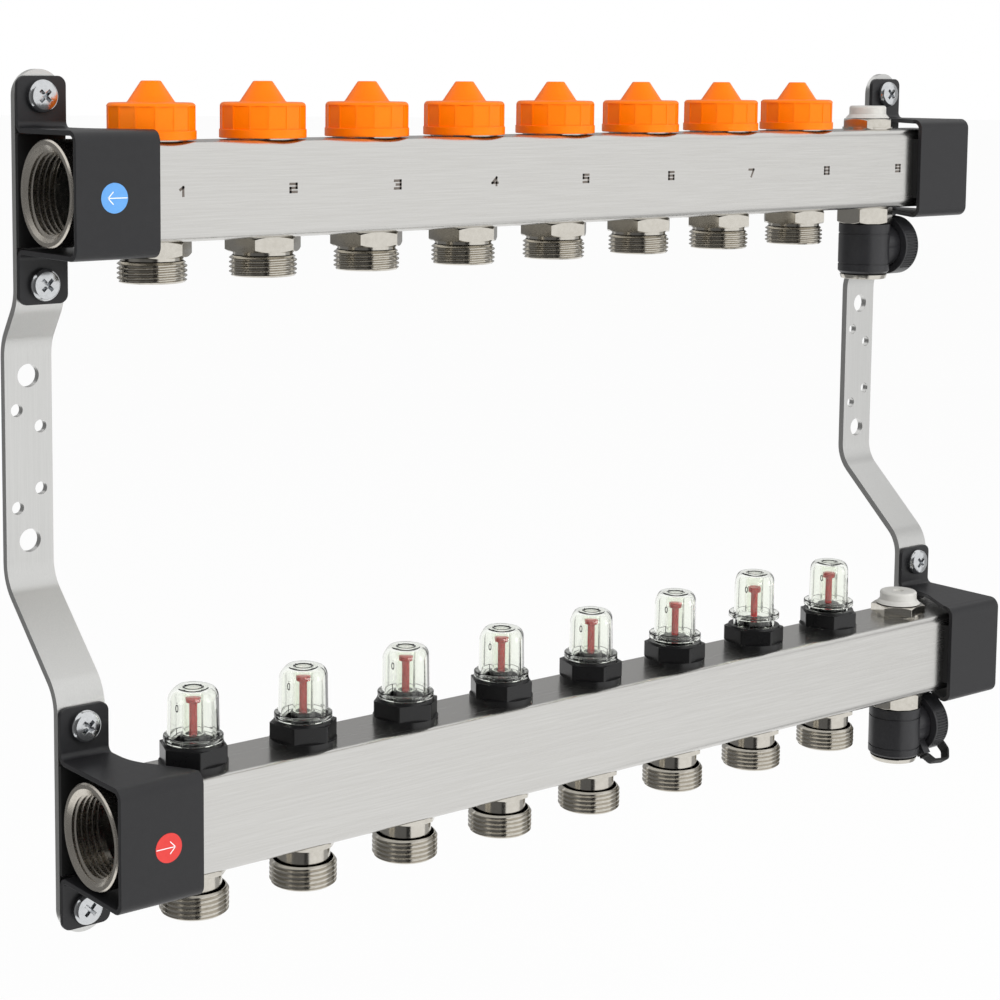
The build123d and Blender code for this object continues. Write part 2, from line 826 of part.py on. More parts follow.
# Hose cap, drawn round the outlet's axis as its X axis, with a button for the strap
cap_face = hose_cap_start + hose_cap_t
with BuildPart() as hose_cap:
    with BuildSketch(Plane.YZ.offset(hose_cap_start)):
        Circle(hose_cap_d / 2)
    extrude(amount=hose_cap_t)
    chamfer(hose_cap.edges().filter_by(GeomType.CIRCLE), hose_cap_edge)
    with BuildSketch(Plane.YZ.offset(hose_cap_start)):
        Circle(drain_outlet_d / 2 + running_gap)
    extrude(amount=hose_cap_t - hose_cap_roof, mode=Mode.SUBTRACT)
    with BuildSketch(Plane.YZ.offset(cap_face)):
        Circle(hose_cap_button_d / 2)
    extrude(amount=hose_cap_button_h)

# Strap, hanging straight down from the outlet's axis: a ring on the button and a band to the lug
ring_x = cap_face + running_gap
band = [
    (ring_x, -hose_cap_button_d / 2 - running_gap),
    (ring_x, -strap_waist),
    (strap_belly_x - strap_t, -strap_belly),
    (strap_low_x, strap_t - strap_low),
    (strap_heel_x, strap_t - strap_heel),
    (lug_far_x - strap_t, -lug_head),
    (strap_end_x, -lug_head),
]
with BuildPart() as strap:
    with BuildSketch(Plane.XZ.offset(-strap_width / 2)):
        sheet_section(band, strap_bend_r, strap_t)
    extrude(amount=strap_width)
    with BuildSketch(Plane.YZ.offset(ring_x)):
        Circle(strap_ring_d / 2)
    extrude(amount=strap_t)
    with BuildSketch(Plane.YZ.offset(ring_x)):
        Circle(hose_cap_button_d / 2 + running_gap)
    extrude(amount=strap_t, mode=Mode.SUBTRACT)


# Drain bodies: barrels that swivel on the spindle, with a side outlet and the strap's lug
def make_drain(word, place, strap_turn):
    outlet_axis = Location((0, 0, -drain_outlet_depth), (strap_turn, 0, 0))
    lug_length = lug_far_x - lug_near_x
    with BuildPart() as drain_body:
        with BuildSketch(Plane.XY.offset(-drain_body_foot)):
            Circle(drain_body_d / 2)
        extrude(amount=drain_body_h)
        chamfer(drain_body.edges().group_by(Axis.Z)[0], drain_body_edge)
        for depth in (drain_groove_top, drain_groove_low):
            with BuildSketch(Plane.XY.offset(-drain_body_top - depth)):
                Circle(drain_body_d / 2 + 1)
                Circle(drain_body_d / 2 - drain_groove_t, mode=Mode.SUBTRACT)
            extrude(amount=-drain_groove_w, mode=Mode.SUBTRACT)
        with BuildSketch(Plane.YZ):
            with Locations((0, -drain_outlet_depth)):
                Circle(drain_outlet_d / 2)
        extrude(amount=drain_outlet_reach)
        with Locations(outlet_axis):
            with Locations((lug_near_x, 0, -lug_head)):
                Box(
                    lug_length, strap_width, lug_head - lug_foot,
                    align=(Align.MIN, Align.CENTER, Align.MIN),
                )
        with BuildSketch(Plane.YZ):
            with Locations((0, -drain_outlet_depth)):
                Circle(drain_outlet_bore_d / 2)
        extrude(amount=drain_outlet_reach, mode=Mode.SUBTRACT)
        with BuildSketch(Plane.XY.offset(-drain_body_foot)):
            Circle(drain_spindle_d / 2 + running_gap)
        extrude(amount=drain_body_h, mode=Mode.SUBTRACT)
    save(drain_body.part.moved(place), f"{word}_drain_body")
    save(hose_cap.part.moved(place * Location((0, 0, -drain_outlet_depth))), f"{word}_hose_cap")
    save(strap.part.moved(place * outlet_axis), f"{word}_drain_strap")


make_drain("upper", Location((service_x, upper_y, upper_bottom)), upper_strap_turn)
make_drain("lower", Location((service_x, lower_y, lower_bottom)), lower_strap_turn)
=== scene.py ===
"""Looks of a wall-hung heating manifold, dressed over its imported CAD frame."""

import json
import logging
import math
from dataclasses import dataclass
from enum import Enum
from typing import Sequence

import bpy
from mathutils import Matrix, Vector

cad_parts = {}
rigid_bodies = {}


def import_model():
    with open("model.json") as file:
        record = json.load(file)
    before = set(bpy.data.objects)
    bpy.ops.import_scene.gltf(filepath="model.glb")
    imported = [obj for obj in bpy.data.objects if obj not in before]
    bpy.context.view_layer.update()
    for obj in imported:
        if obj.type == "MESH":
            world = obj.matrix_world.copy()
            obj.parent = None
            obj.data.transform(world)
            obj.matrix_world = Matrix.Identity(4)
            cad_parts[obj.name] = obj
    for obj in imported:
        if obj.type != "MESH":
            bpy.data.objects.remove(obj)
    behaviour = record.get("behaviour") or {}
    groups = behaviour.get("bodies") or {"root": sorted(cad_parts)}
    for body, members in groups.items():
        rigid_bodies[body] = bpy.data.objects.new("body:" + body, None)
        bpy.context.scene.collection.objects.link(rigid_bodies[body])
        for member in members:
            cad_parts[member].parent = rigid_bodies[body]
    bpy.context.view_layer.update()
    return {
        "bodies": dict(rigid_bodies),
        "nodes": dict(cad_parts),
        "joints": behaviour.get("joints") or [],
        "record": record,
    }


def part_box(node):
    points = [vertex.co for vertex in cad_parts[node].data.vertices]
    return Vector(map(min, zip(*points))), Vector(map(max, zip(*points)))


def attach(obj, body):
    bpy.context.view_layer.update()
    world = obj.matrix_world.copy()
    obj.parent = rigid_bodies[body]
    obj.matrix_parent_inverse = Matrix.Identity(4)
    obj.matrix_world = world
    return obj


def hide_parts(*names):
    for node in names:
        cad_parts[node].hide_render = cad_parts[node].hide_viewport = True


LOG = logging.getLogger("manifold")
MM = 0.001
CIRCUITS = 8
# Vertices nearer than this, in metres, are one vertex
MERGE_M = 0.000002


def linear(code: str) -> tuple[float, float, float, float]:
    """Turn an sRGB hex colour into Blender's linear one.

    Args:
        code: Six hex digits after a hash.

    Returns:
        Linear red, green, blue and an alpha of one.
    """
    parts = [int(code[i : i + 2], 16) / 255 for i in (1, 3, 5)]
    flat = [c / 12.92 if c <= 0.04045 else ((c + 0.055) / 1.055) ** 2.4 for c in parts]
    return (flat[0], flat[1], flat[2], 1.0)


def add_node(
    tree: bpy.types.NodeTree, kind: str, settings: dict | None = None, links: dict | None = None
) -> bpy.types.Node:
    """Add one node with its settings and links.

    Args:
        tree: The node tree that gets the node.
        kind: The node's type name.
        settings: Attributes by name, and input values by socket name or number.
        links: Output sockets by the name or number of the input that they feed.

    Returns:
        The new node.
    """
    node = tree.nodes.new(kind)
    for key, value in (settings or {}).items():
        if isinstance(key, str) and hasattr(node, key):
            setattr(node, key, value)
        else:
            node.inputs[key].default_value = value
    for key, socket in (links or {}).items():
        tree.links.new(socket, node.inputs[key])
    return node


class Relief(Enum):
    """How a finish's surface is broken up."""

    SMOOTH = "smooth"
    BRUSHED_X = "brushed along x"
    BRUSHED_Z = "brushed along z"
    GRAINED = "grained"


@dataclass(frozen=True)
class Finish:
    """One surface finish, made from a shader and a relief at a real scale.

    Attributes:
        name: Material name, after the real material and how its surface was made.
        colour: Base colour as sRGB hex.
        second: Colour that the pattern brings in, as sRGB hex.
        metallic: Metallic value.
        roughness: Mean roughness.
        spread: How far the pattern moves the roughness either way.
        relief: Kind of pattern.
        grain_mm: Size of the pattern across its grain, in millimetres.
        bump_mm: Height of the relief, in millimetres.
        mix: Most of the second colour that the pattern brings in.
        ior: Index of refraction of a non-metal.
        transmission: Transmission weight.
        specular: Specular level.
    """

    name: str
    colour: str
    second: str
    metallic: float = 0.0
    roughness: float = 0.4
    spread: float = 0.06
    relief: Relief = Relief.GRAINED
    grain_mm: float = 0.6
    bump_mm: float = 0.01
    mix: float = 0.3
    ior: float = 1.5
    transmission: float = 0.0
    specular: float = 0.5

    def material(self) -> bpy.types.Material:
        """Build the material once, and return the same one after that."""
        known = bpy.data.materials.get(self.name)
        if known:
            return known
        material = bpy.data.materials.new(self.name)
        material.use_nodes = True
        tree = material.node_tree
        shader = tree.nodes["Principled BSDF"]
        shader.inputs["Metallic"].default_value = self.metallic
        if self.metallic < 0.5:
            shader.inputs["IOR"].default_value = self.ior
            shader.inputs["Specular IOR Level"].default_value = self.specular
        shader.inputs["Transmission Weight"].default_value = self.transmission
        if self.relief is Relief.SMOOTH:
            shader.inputs["Base Color"].default_value = linear(self.colour)
            shader.inputs["Roughness"].default_value = self.roughness
            self.cloud(tree, shader)
            return material
        across = 1 / (self.grain_mm * MM)
        along = across / 60
        scale = {
            Relief.BRUSHED_X: (along, across, across),
            Relief.BRUSHED_Z: (across, across, along),
            Relief.GRAINED: (across, across, across),
        }[self.relief]
        place = add_node(tree, "ShaderNodeTexCoord")
        mapping = add_node(
            tree, "ShaderNodeMapping", {"Scale": scale}, {"Vector": place.outputs["Object"]}
        )
        grain = add_node(
            tree,
            "ShaderNodeTexNoise",
            {"Scale": 1.0, "Detail": 3.0, "Roughness": 0.6},
            {"Vector": mapping.outputs[0]},
        )
        broad = add_node(
            tree,
            "ShaderNodeTexNoise",
            {"Scale": 1.0, "Detail": 2.0},
            {
                "Vector": add_node(
                    tree,
                    "ShaderNodeVectorMath",
                    {"operation": "SCALE", "Scale": 0.12},
                    {0: mapping.outputs[0]},
                ).outputs[0]
            },
        )
        both = add_node(
            tree,
            "ShaderNodeMix",
            {"data_type": "FLOAT", "Factor": 0.12 if "BRUSHED" in self.relief.name else 0.35},
            {2: grain.outputs[0], 3: broad.outputs[0]},
        )
        tint = add_node(
            tree,
            "ShaderNodeMapRange",
            {"From Min": 0.35, "From Max": 0.7, "To Min": 0.0, "To Max": self.mix},
            {"Value": both.outputs[0]},
        )
        colour = add_node(
            tree,
            "ShaderNodeMix",
            {"data_type": "RGBA", 6: linear(self.colour), 7: linear(self.second)},
            {"Factor": tint.outputs[0]},
        )
        rough = add_node(
            tree,
            "ShaderNodeMapRange",
            {
                "From Min": 0.3,
                "From Max": 0.7,
                "To Min": self.roughness - self.spread,
                "To Max": self.roughness + self.spread,
            },
            {"Value": both.outputs[0]},
        )
        bump = add_node(
            tree,
            "ShaderNodeBump",
            {"Strength": 1.0, "Distance": self.bump_mm * MM},
            {"Height": grain.outputs[0]},
        )
        tree.links.new(colour.outputs[2], shader.inputs["Base Color"])
        tree.links.new(rough.outputs[0], shader.inputs["Roughness"])
        tree.links.new(bump.outputs[0], shader.inputs["Normal"])
        return material

    def cloud(self, tree: bpy.types.NodeTree, shader: bpy.types.Node) -> None:
        """Vary the roughness of a smooth finish a little, as handling does.

        Args:
            tree: The material's node tree.
            shader: Its Principled shader.
        """
        place = add_node(tree, "ShaderNodeTexCoord")
        noise = add_node(
            tree,
            "ShaderNodeTexNoise",
            {"Scale": 1 / (self.grain_mm * MM), "Detail": 2.0},
            {"Vector": place.outputs["Object"]},
        )
        rough = add_node(
            tree,
            "ShaderNodeMapRange",
            {
                "From Min": 0.3,
                "From Max": 0.7,
                "To Min": max(0.0, self.roughness - self.spread),
                "To Max": self.roughness + self.spread,
            },
            {"Value": noise.outputs[0]},
        )
        tree.links.new(rough.outputs[0], shader.inputs["Roughness"])


# Stainless steel tube, belt-brushed along its length: bright, with long faint streaks
BEAM_STEEL = Finish(
    "brushed_stainless_tube", "#d5d4d1", "#c6c4c0", metallic=1.0, roughness=0.25, spread=0.03,
    relief=Relief.BRUSHED_X, grain_mm=0.4, bump_mm=0.0007, mix=0.45,
)
# Flat steel bar, zinc plated and dull: pale grey with an even, cloudy sheen
BAR_ZINC = Finish(
    "zinc_plated_flat_bar", "#d8d8d6", "#c9c9c7", metallic=1.0, roughness=0.34, spread=0.03,
    relief=Relief.BRUSHED_Z, grain_mm=0.4, bump_mm=0.0008, mix=0.4,
)
# Sheet steel with a fine-structure powder coat: near black, soft highlights, tiny orange peel
CLAMP_BLACK = Finish(
    "black_powder_coat", "#1b1b1d", "#262628", roughness=0.4, spread=0.04,
    relief=Relief.GRAINED, grain_mm=0.4, bump_mm=0.008, mix=0.6, specular=0.45,
)
# Turned stainless sockets: rings from the cutting tool catch the light
SLEEVE_STEEL = Finish(
    "turned_stainless", "#d6d0c6", "#b3ada3", metallic=1.0, roughness=0.26, spread=0.05,
    relief=Relief.GRAINED, grain_mm=1.2, bump_mm=0.002, mix=0.4,
)
# Nickel plated brass fittings: warm grey mirror with slight waviness
NICKEL = Finish(
    "nickel_plated_brass", "#d6d2c9", "#b9b3a9", metallic=1.0, roughness=0.17, spread=0.05,
    relief=Relief.GRAINED, grain_mm=2.0, bump_mm=0.003, mix=0.4,
)
# Zinc plated screw heads: bluish bright metal
SCREW_ZINC = Finish(
    "zinc_plated_screw", "#d5d7d9", "#b2b5b8", metallic=1.0, roughness=0.16, spread=0.04,
    relief=Relief.GRAINED, grain_mm=1.5, bump_mm=0.003, mix=0.4,
)
# Injection moulded ABS: saturated orange with a satin gloss
CAP_ORANGE = Finish(
    "orange_moulded_abs", "#ff7a00", "#ff8400", roughness=0.32, spread=0.04,
    relief=Relief.GRAINED, grain_mm=0.8, bump_mm=0.0015, mix=0.5, specular=0.2,
)
# Glass-filled nylon nuts: black, a little rougher than the coat of the clamps
NUT_BLACK = Finish(
    "black_glass_filled_nylon", "#0d0d0e", "#161617", roughness=0.3, spread=0.04,
    relief=Relief.GRAINED, grain_mm=0.7, bump_mm=0.004, mix=0.5,
)
# Clear polycarbonate domes: smooth, slightly blue-white, with sharp reflections
DOME_CLEAR = Finish(
    "clear_polycarbonate", "#fbfdf8", "#fbfdf8", roughness=0.01, spread=0.01,
    relief=Relief.SMOOTH, grain_mm=6.0, ior=1.5, transmission=1.0,
)
# Red acetal indicators
FLAG_RED = Finish(
    "red_acetal", "#d3110f", "#dc2320", roughness=0.35, spread=0.03,
    relief=Relief.GRAINED, grain_mm=1.0, bump_mm=0.002, mix=0.5,
)
# White acetal knobs: faintly warm and waxy
KNOB_WHITE = Finish(
    "white_acetal", "#cdccc7", "#c3c1bc", roughness=0.35, spread=0.04,
    relief=Relief.GRAINED, grain_mm=1.2, bump_mm=0.003, mix=0.5,
)
# Black moulded drain cocks: satin, with a fine moulded grain
DRAIN_BLACK = Finish(
    "black_moulded_nylon", "#232325", "#303033", roughness=0.36, spread=0.05,
    relief=Relief.GRAINED, grain_mm=0.8, bump_mm=0.008, mix=0.5,
)
# Soft rubber pads and straps: dull black
RUBBER = Finish(
    "black_rubber", "#161616", "#232323", roughness=0.6, spread=0.05,
    relief=Relief.GRAINED, grain_mm=0.9, bump_mm=0.01, mix=0.5, specular=0.35,
)
# Ground stainless spindles
SPINDLE_STEEL = Finish(
    "ground_stainless", "#cfcfcc", "#b0b0ad", metallic=1.0, roughness=0.2, spread=0.04,
    relief=Relief.GRAINED, grain_mm=1.0, bump_mm=0.002, mix=0.3,
)


@dataclass
class Camera:
    """The photograph's camera, found from the object's own straight edges.

    Attributes:
        place_mm: Where it stands, in the row frame.
        yaw_deg: Turn from +Y towards +X.
        pitch_deg: Tilt below the horizon.
        roll_deg: Roll about the view axis.
        focal_px: Focal length in pixels of a picture 1000 wide.
        centre_px: Where the optical axis meets the picture.
    """

    place_mm: tuple[float, float, float] = (-626.85, -742.77, 145.69)
    yaw_deg: float = 36.998
    pitch_deg: float = 6.227
    roll_deg: float = 0.27
    focal_px: float = 2195.6
    centre_px: tuple[float, float] = (379.6, 314.9)

    def build(self) -> None:
        """Make the camera and set it as the scene's."""
        yaw, pitch, roll = (math.radians(v) for v in (self.yaw_deg, self.pitch_deg, self.roll_deg))
        forward = Vector(
            (math.sin(yaw) * math.cos(pitch), math.cos(yaw) * math.cos(pitch), -math.sin(pitch))
        )
        level = Vector((math.cos(yaw), -math.sin(yaw), 0))
        upright = level.cross(forward)
        right = math.cos(roll) * level + math.sin(roll) * upright
        up = -math.sin(roll) * level + math.cos(roll) * upright
        data = bpy.data.cameras.new("photo_camera")
        data.sensor_width = 36.0
        data.lens = self.focal_px * 36.0 / 1000
        data.shift_x = (500 - self.centre_px[0]) / 1000
        data.shift_y = (self.centre_px[1] - 500) / 1000
        data.clip_start = 0.01
        data.clip_end = 30.0
        camera = bpy.data.objects.new("photo_camera", data)
        matrix = Matrix((right, up, -forward)).transposed().to_4x4()
        matrix.translation = Vector(self.place_mm) * MM
        camera.matrix_world = matrix
        bpy.context.collection.objects.link(camera)
        bpy.context.scene.camera = camera
        LOG.info("camera at %s", self.place_mm)


@dataclass
class Studio:
    """Pale floor, white surround, soft lamps and the cards that metal mirrors.

    Attributes:
        floor_z_mm: Height of the floor.
        world_strength: Light that the surround gives.
        floor_white: How much of the floor's own shade gives way to the white of the surround.
        lamps: Name, place in metres, size in metres and watts of each area lamp.
        cards: Name, direction from +X and height in degrees, distance, width and height in
            metres, and brightness of each card.
    """

    floor_z_mm: float = -420.0
    world_strength: float = 0.7
    floor_white: float = 0.93
    lamps: tuple = (
        ("key_lamp", (-0.5, -2.5, 1.7), (1.4, 1.4), 44.0),
        ("fill_lamp", (1.9, -1.6, 0.5), (1.2, 1.6), 16.0),
        ("left_lamp", (-2.2, -0.2, 0.4), (0.9, 1.6), 10.0),
    )
    cards: tuple = (
        ("softbox_card", -68.0, -4.0, 2.6, 3.9, 4.4, 1.0),
        ("edge_card", -113.0, -4.0, 2.3, 0.7, 4.2, 0.03),
        ("dark_card", -143.0, -4.0, 2.4, 2.2, 4.2, 0.13),
        ("side_card", 148.0, -4.0, 2.6, 5.2, 4.2, 0.2),
        ("back_card", 58.0, 12.0, 2.8, 5.0, 2.8, 0.36),
        ("right_card", -12.0, -4.0, 2.6, 1.7, 4.2, 0.45),
    )

    def shade(
        self, tree: bpy.types.NodeTree, surface: bpy.types.Node, kind: str, amount: float
    ) -> bpy.types.Node:
        """Mix a white picture background over a lit surface.

        Args:
            tree: Node tree of the world or the floor.
            surface: The shader that gives the light or takes the shadow.
            kind: Type name of the node that makes the white.
            amount: How much of the white the camera, mirrors and glass see.

        Returns:
            The mixed shader.
        """
        path = add_node(tree, "ShaderNodeLightPath")
        seen = add_node(
            tree, "ShaderNodeMath", {"operation": "MAXIMUM"},
            {0: path.outputs["Is Camera Ray"], 1: path.outputs["Is Transmission Ray"]},
        )
        seen = add_node(
            tree, "ShaderNodeMath", {"operation": "MAXIMUM"},
            {0: seen.outputs[0], 1: path.outputs["Is Glossy Ray"]},
        )
        share = add_node(
            tree, "ShaderNodeMath", {"operation": "MULTIPLY", 1: amount}, {0: seen.outputs[0]}
        )
        white = add_node(tree, kind, {"Color": (1, 1, 1, 1), "Strength": 1.0})
        return add_node(
            tree, "ShaderNodeMixShader", {},
            {0: share.outputs[0], 1: surface.outputs[0], 2: white.outputs[0]},
        )

    def card(
        self, name: str, turn_deg: float, rise_deg: float, away: float, wide: float, tall: float,
        bright: float,
    ) -> None:
        """Stand one card round the object, which only mirror rays see.

        Args:
            name: Its name.
            turn_deg: Direction that it stands in, from +X.
            rise_deg: Height that it stands at, over the horizon.
            away: Distance from the object in metres.
            wide: Width in metres.
            tall: Height in metres.
            bright: Brightness, where white is one.
        """
        turn, rise = math.radians(turn_deg), math.radians(rise_deg)
        spot = Vector(
            (math.cos(turn) * math.cos(rise), math.sin(turn) * math.cos(rise), math.sin(rise))
        )
        Bench.clear()
        bpy.ops.mesh.primitive_plane_add(size=1)
        card = bpy.context.object
        card.name = name
        card.data.transform(Matrix.Diagonal((wide, tall, 1, 1)))
        card.rotation_euler = spot.to_track_quat("Z", "Y").to_euler()
        card.location = spot * away
        material = bpy.data.materials.new(name)
        material.use_nodes = True
        tree = material.node_tree
        tree.nodes.remove(tree.nodes["Principled BSDF"])
        glow = add_node(tree, "ShaderNodeEmission", {"Color": (1, 1, 1, 1), "Strength": bright})
        tree.links.new(glow.outputs[0], tree.nodes["Material Output"].inputs["Surface"])
        card.data.materials.append(material)
        card.visible_camera = False
        card.visible_diffuse = False
        card.visible_transmission = False
        card.visible_shadow = False

    def build(self) -> None:
        """Make the world, the floor and the lamps."""
        scene = bpy.context.scene
        scene.view_settings.view_transform = "Standard"
        world = bpy.data.worlds.new("surround")
        scene.world = world
        world.use_nodes = True
        tree = world.node_tree
        tree.nodes.clear()
        place = add_node(tree, "ShaderNodeTexCoord")
        height = add_node(tree, "ShaderNodeSeparateXYZ", {}, {0: place.outputs["Generated"]})
        ramp = add_node(tree, "ShaderNodeValToRGB", {}, {0: add_node(
            tree, "ShaderNodeMapRange", {"From Min": -1.0, "From Max": 1.0},
            {"Value": height.outputs["Z"]},
        ).outputs[0]})
        ramp.color_ramp.elements[0].position = 0.35
        ramp.color_ramp.elements[0].color = linear("#a8a8a8")
        ramp.color_ramp.elements[1].position = 0.75
        ramp.color_ramp.elements[1].color = linear("#f4f4f4")
        light = add_node(
            tree, "ShaderNodeBackground", {"Strength": self.world_strength},
            {"Color": ramp.outputs[0]},
        )
        mixed = self.shade(tree, light, "ShaderNodeBackground", 1.0)
        add_node(tree, "ShaderNodeOutputWorld", {}, {"Surface": mixed.outputs[0]})

        bpy.ops.object.select_all(action="DESELECT")
        bpy.ops.mesh.primitive_plane_add(size=60, location=(0, 0, self.floor_z_mm * MM))
        floor = bpy.context.object
        floor.name = "floor"
        floor.visible_glossy = False
        material = bpy.data.materials.new("pale_paper")
        material.use_nodes = True
        tree = material.node_tree
        shader = tree.nodes["Principled BSDF"]
        shader.inputs["Base Color"].default_value = linear("#fbfbfa")
        shader.inputs["Roughness"].default_value = 0.8
        mixed = self.shade(tree, shader, "ShaderNodeEmission", self.floor_white)
        tree.links.new(mixed.outputs[0], tree.nodes["Material Output"].inputs["Surface"])
        floor.data.materials.append(material)

        for name, spot, size, watts in self.lamps:
            data = bpy.data.lights.new(name, "AREA")
            data.shape = "RECTANGLE"
            data.size, data.size_y = size
            data.energy = watts
            lamp = bpy.data.objects.new(name, data)
            lamp.location = spot
            lamp.rotation_euler = (-Vector(spot)).to_track_quat("-Z", "Y").to_euler()
            lamp.visible_glossy = False
            bpy.context.collection.objects.link(lamp)
        for row in self.cards:
            self.card(*row)
        LOG.info("studio with %d lamps and %d cards", len(self.lamps), len(self.cards))


class Bench:
    """The modelling moves that every piece shares, made with the operators of Edit Mode."""

    @staticmethod
    def clear() -> None:
        """Leave Edit Mode and select nothing."""
        if bpy.context.object and bpy.context.object.mode != "OBJECT":
            bpy.ops.object.mode_set(mode="OBJECT")
        bpy.ops.object.select_all(action="DESELECT")

    @staticmethod
    def hold(piece: bpy.types.Object) -> bpy.types.Object:
        """Make the piece the only selected object and the active one, and return it."""
        Bench.clear()
        piece.select_set(True)
        bpy.context.view_layer.objects.active = piece
        return piece

    @staticmethod
    def pick(piece: bpy.types.Object, kind: str, test) -> None:
        """Select the vertices, edges or faces that pass a test, and enter Edit Mode on them.

        Args:
            piece: The object to work on.
            kind: "VERT", "EDGE" or "FACE".
            test: Takes a vertex's place, an edge's two ends or a face, and says yes or no.
        """
        Bench.hold(piece)
        bpy.ops.object.mode_set(mode="EDIT")
        bpy.ops.mesh.select_mode(type=kind)
        bpy.ops.mesh.select_all(action="DESELECT")
        bpy.ops.object.mode_set(mode="OBJECT")
        mesh = piece.data
        for item in {"VERT": mesh.vertices, "EDGE": mesh.edges, "FACE": mesh.polygons}[kind]:
            if kind == "VERT":
                item.select = bool(test(item.co))
            elif kind == "EDGE":
                ends = [mesh.vertices[index].co for index in item.vertices]
                item.select = bool(test(*ends))
            else:
                item.select = bool(test(item))
        bpy.ops.object.mode_set(mode="EDIT")

    @staticmethod
    def tidy() -> None:
        """Merge doubles, drop loose edges, turn the faces outwards, and leave Edit Mode."""
        bpy.ops.mesh.select_all(action="SELECT")
        bpy.ops.mesh.remove_doubles(threshold=MERGE_M)
        bpy.ops.mesh.delete_loose(use_verts=True, use_edges=True, use_faces=False)
        bpy.ops.mesh.select_all(action="SELECT")
        bpy.ops.mesh.normals_make_consistent(inside=False)
        bpy.ops.object.mode_set(mode="OBJECT")

    @staticmethod
    def outline(name: str, points: Sequence[tuple[float, float]]) -> bpy.types.Object:
        """Draw a chain of edges in the XZ plane, and stay in Edit Mode.

        Args:
            name: Name of the new object.
            points: Distance from the axis and height of each point, in millimetres.

        Returns:
            The object that holds the chain.
        """
        Bench.clear()
        bpy.ops.mesh.primitive_plane_add(size=MM, enter_editmode=True, location=(0, 0, 0))
        piece = bpy.context.object
        piece.name = name
        bpy.ops.mesh.select_mode(type="VERT")
        bpy.ops.mesh.select_all(action="SELECT")
        bpy.ops.mesh.merge(type="CENTER")
        spots = [Vector((x * MM, 0, z * MM)) for x, z in points]
        bpy.ops.transform.translate(value=spots[0])
        for here, there in zip(spots, spots[1:]):
            bpy.ops.mesh.extrude_vertices_move(TRANSFORM_OT_translate={"value": there - here})
        return piece

    @staticmethod
    def turn(
        name: str, points: Sequence[tuple[float, float]], steps: int = 64
    ) -> bpy.types.Object:
        """Turn a closed profile about the Z axis, as on a lathe.

        Args:
            name: Name of the new object.
            points: Distance from the axis and height of each point, in millimetres.
            steps: Facets round the axis.

        Returns:
            The turned solid.
        """
        piece = Bench.outline(name, points)
        bpy.ops.mesh.select_all(action="SELECT")
        bpy.ops.mesh.spin(steps=steps, angle=2 * math.pi, center=(0, 0, 0), axis=(0, 0, 1))
        Bench.tidy()
        return piece

    @staticmethod
    def thread(
        name: str, root_r: float, crest_r: float, pitch: float, low: float, high: float,
        steps: int = 48,
    ) -> bpy.types.Object:
        """Make a length of threaded rod with flat ends.

        Args:
            name: Name of the new object.
            root_r: Radius at the bottom of the thread, in millimetres.
            crest_r: Radius at its crest.
            pitch: Rise in one turn.
            low: Height of the lower end.
            high: Height of the upper end.
            steps: Facets round the axis.

        Returns:
            The threaded rod.
        """
        start = low - 1.5 * pitch
        piece = Bench.outline(
            name,
            [
                (root_r, start),
                (root_r, start + pitch * 0.12),
                (crest_r, start + pitch * 0.44),
                (crest_r, start + pitch * 0.62),
                (root_r, start + pitch * 0.94),
                (root_r, start + pitch),
            ],
        )
        bpy.ops.object.mode_set(mode="OBJECT")
        screw = piece.modifiers.new("thread", "SCREW")
        screw.angle = 2 * math.pi
        screw.steps = screw.render_steps = steps
        screw.screw_offset = pitch * MM
        screw.iterations = math.ceil((high - low) / pitch) + 2
        screw.use_merge_vertices = True
        screw.merge_threshold = MERGE_M
        Bench.hold(piece)
        bpy.ops.object.modifier_apply(modifier="thread")
        bpy.ops.object.mode_set(mode="EDIT")
        bpy.ops.mesh.select_all(action="SELECT")
        bpy.ops.mesh.remove_doubles(threshold=MERGE_M)
        for height, below in ((low, True), (high, False)):
            bpy.ops.mesh.select_all(action="SELECT")
            bpy.ops.mesh.bisect(
                plane_co=(0, 0, height * MM), plane_no=(0, 0, 1), use_fill=True,
                clear_inner=below, clear_outer=not below, threshold=0.0000001,
            )
        Bench.tidy()
        return piece

    @staticmethod
    def prism(
        name: str, sides: int, flats: float, low: float, high: float, turn_deg: float
    ) -> bpy.types.Object:
        """Make a nut's prism, with the flats at their real distance.

        Args:
            name: Name of the new object.
            sides: Number of flats.
            flats: Distance across the flats, in millimetres.
            low: Height of the lower face.
            high: Height of the upper face.
            turn_deg: Direction of one flat's normal, from +X.

        Returns:
            The prism.
        """
        Bench.clear()
        bpy.ops.mesh.primitive_cylinder_add(
            vertices=sides, radius=flats / 2 / math.cos(math.pi / sides) * MM,
            depth=(high - low) * MM, location=(0, 0, (low + high) / 2 * MM),
            rotation=(0, 0, math.radians(turn_deg - 90 / sides * (1 if sides == 6 else 2))),
        )
        piece = bpy.context.object
        piece.name = name
        bpy.ops.object.transform_apply(location=True, rotation=True, scale=True)
        return piece

    @staticmethod
    def merge(
        piece: bpy.types.Object, other: bpy.types.Object, operation: str
    ) -> bpy.types.Object:
        """Cut, intersect or unite a piece with another, which is used up.

        Args:
            piece: The piece that stays.
            other: The tool.
            operation: Name of the boolean operation.

        Returns:
            The piece.
        """
        Bench.hold(piece)
        modifier = piece.modifiers.new("tool", "BOOLEAN")
        modifier.operation = operation
        modifier.solver = "EXACT"
        modifier.object = other
        bpy.ops.object.modifier_apply(modifier="tool")
        bpy.data.objects.remove(other, do_unlink=True)
        return piece

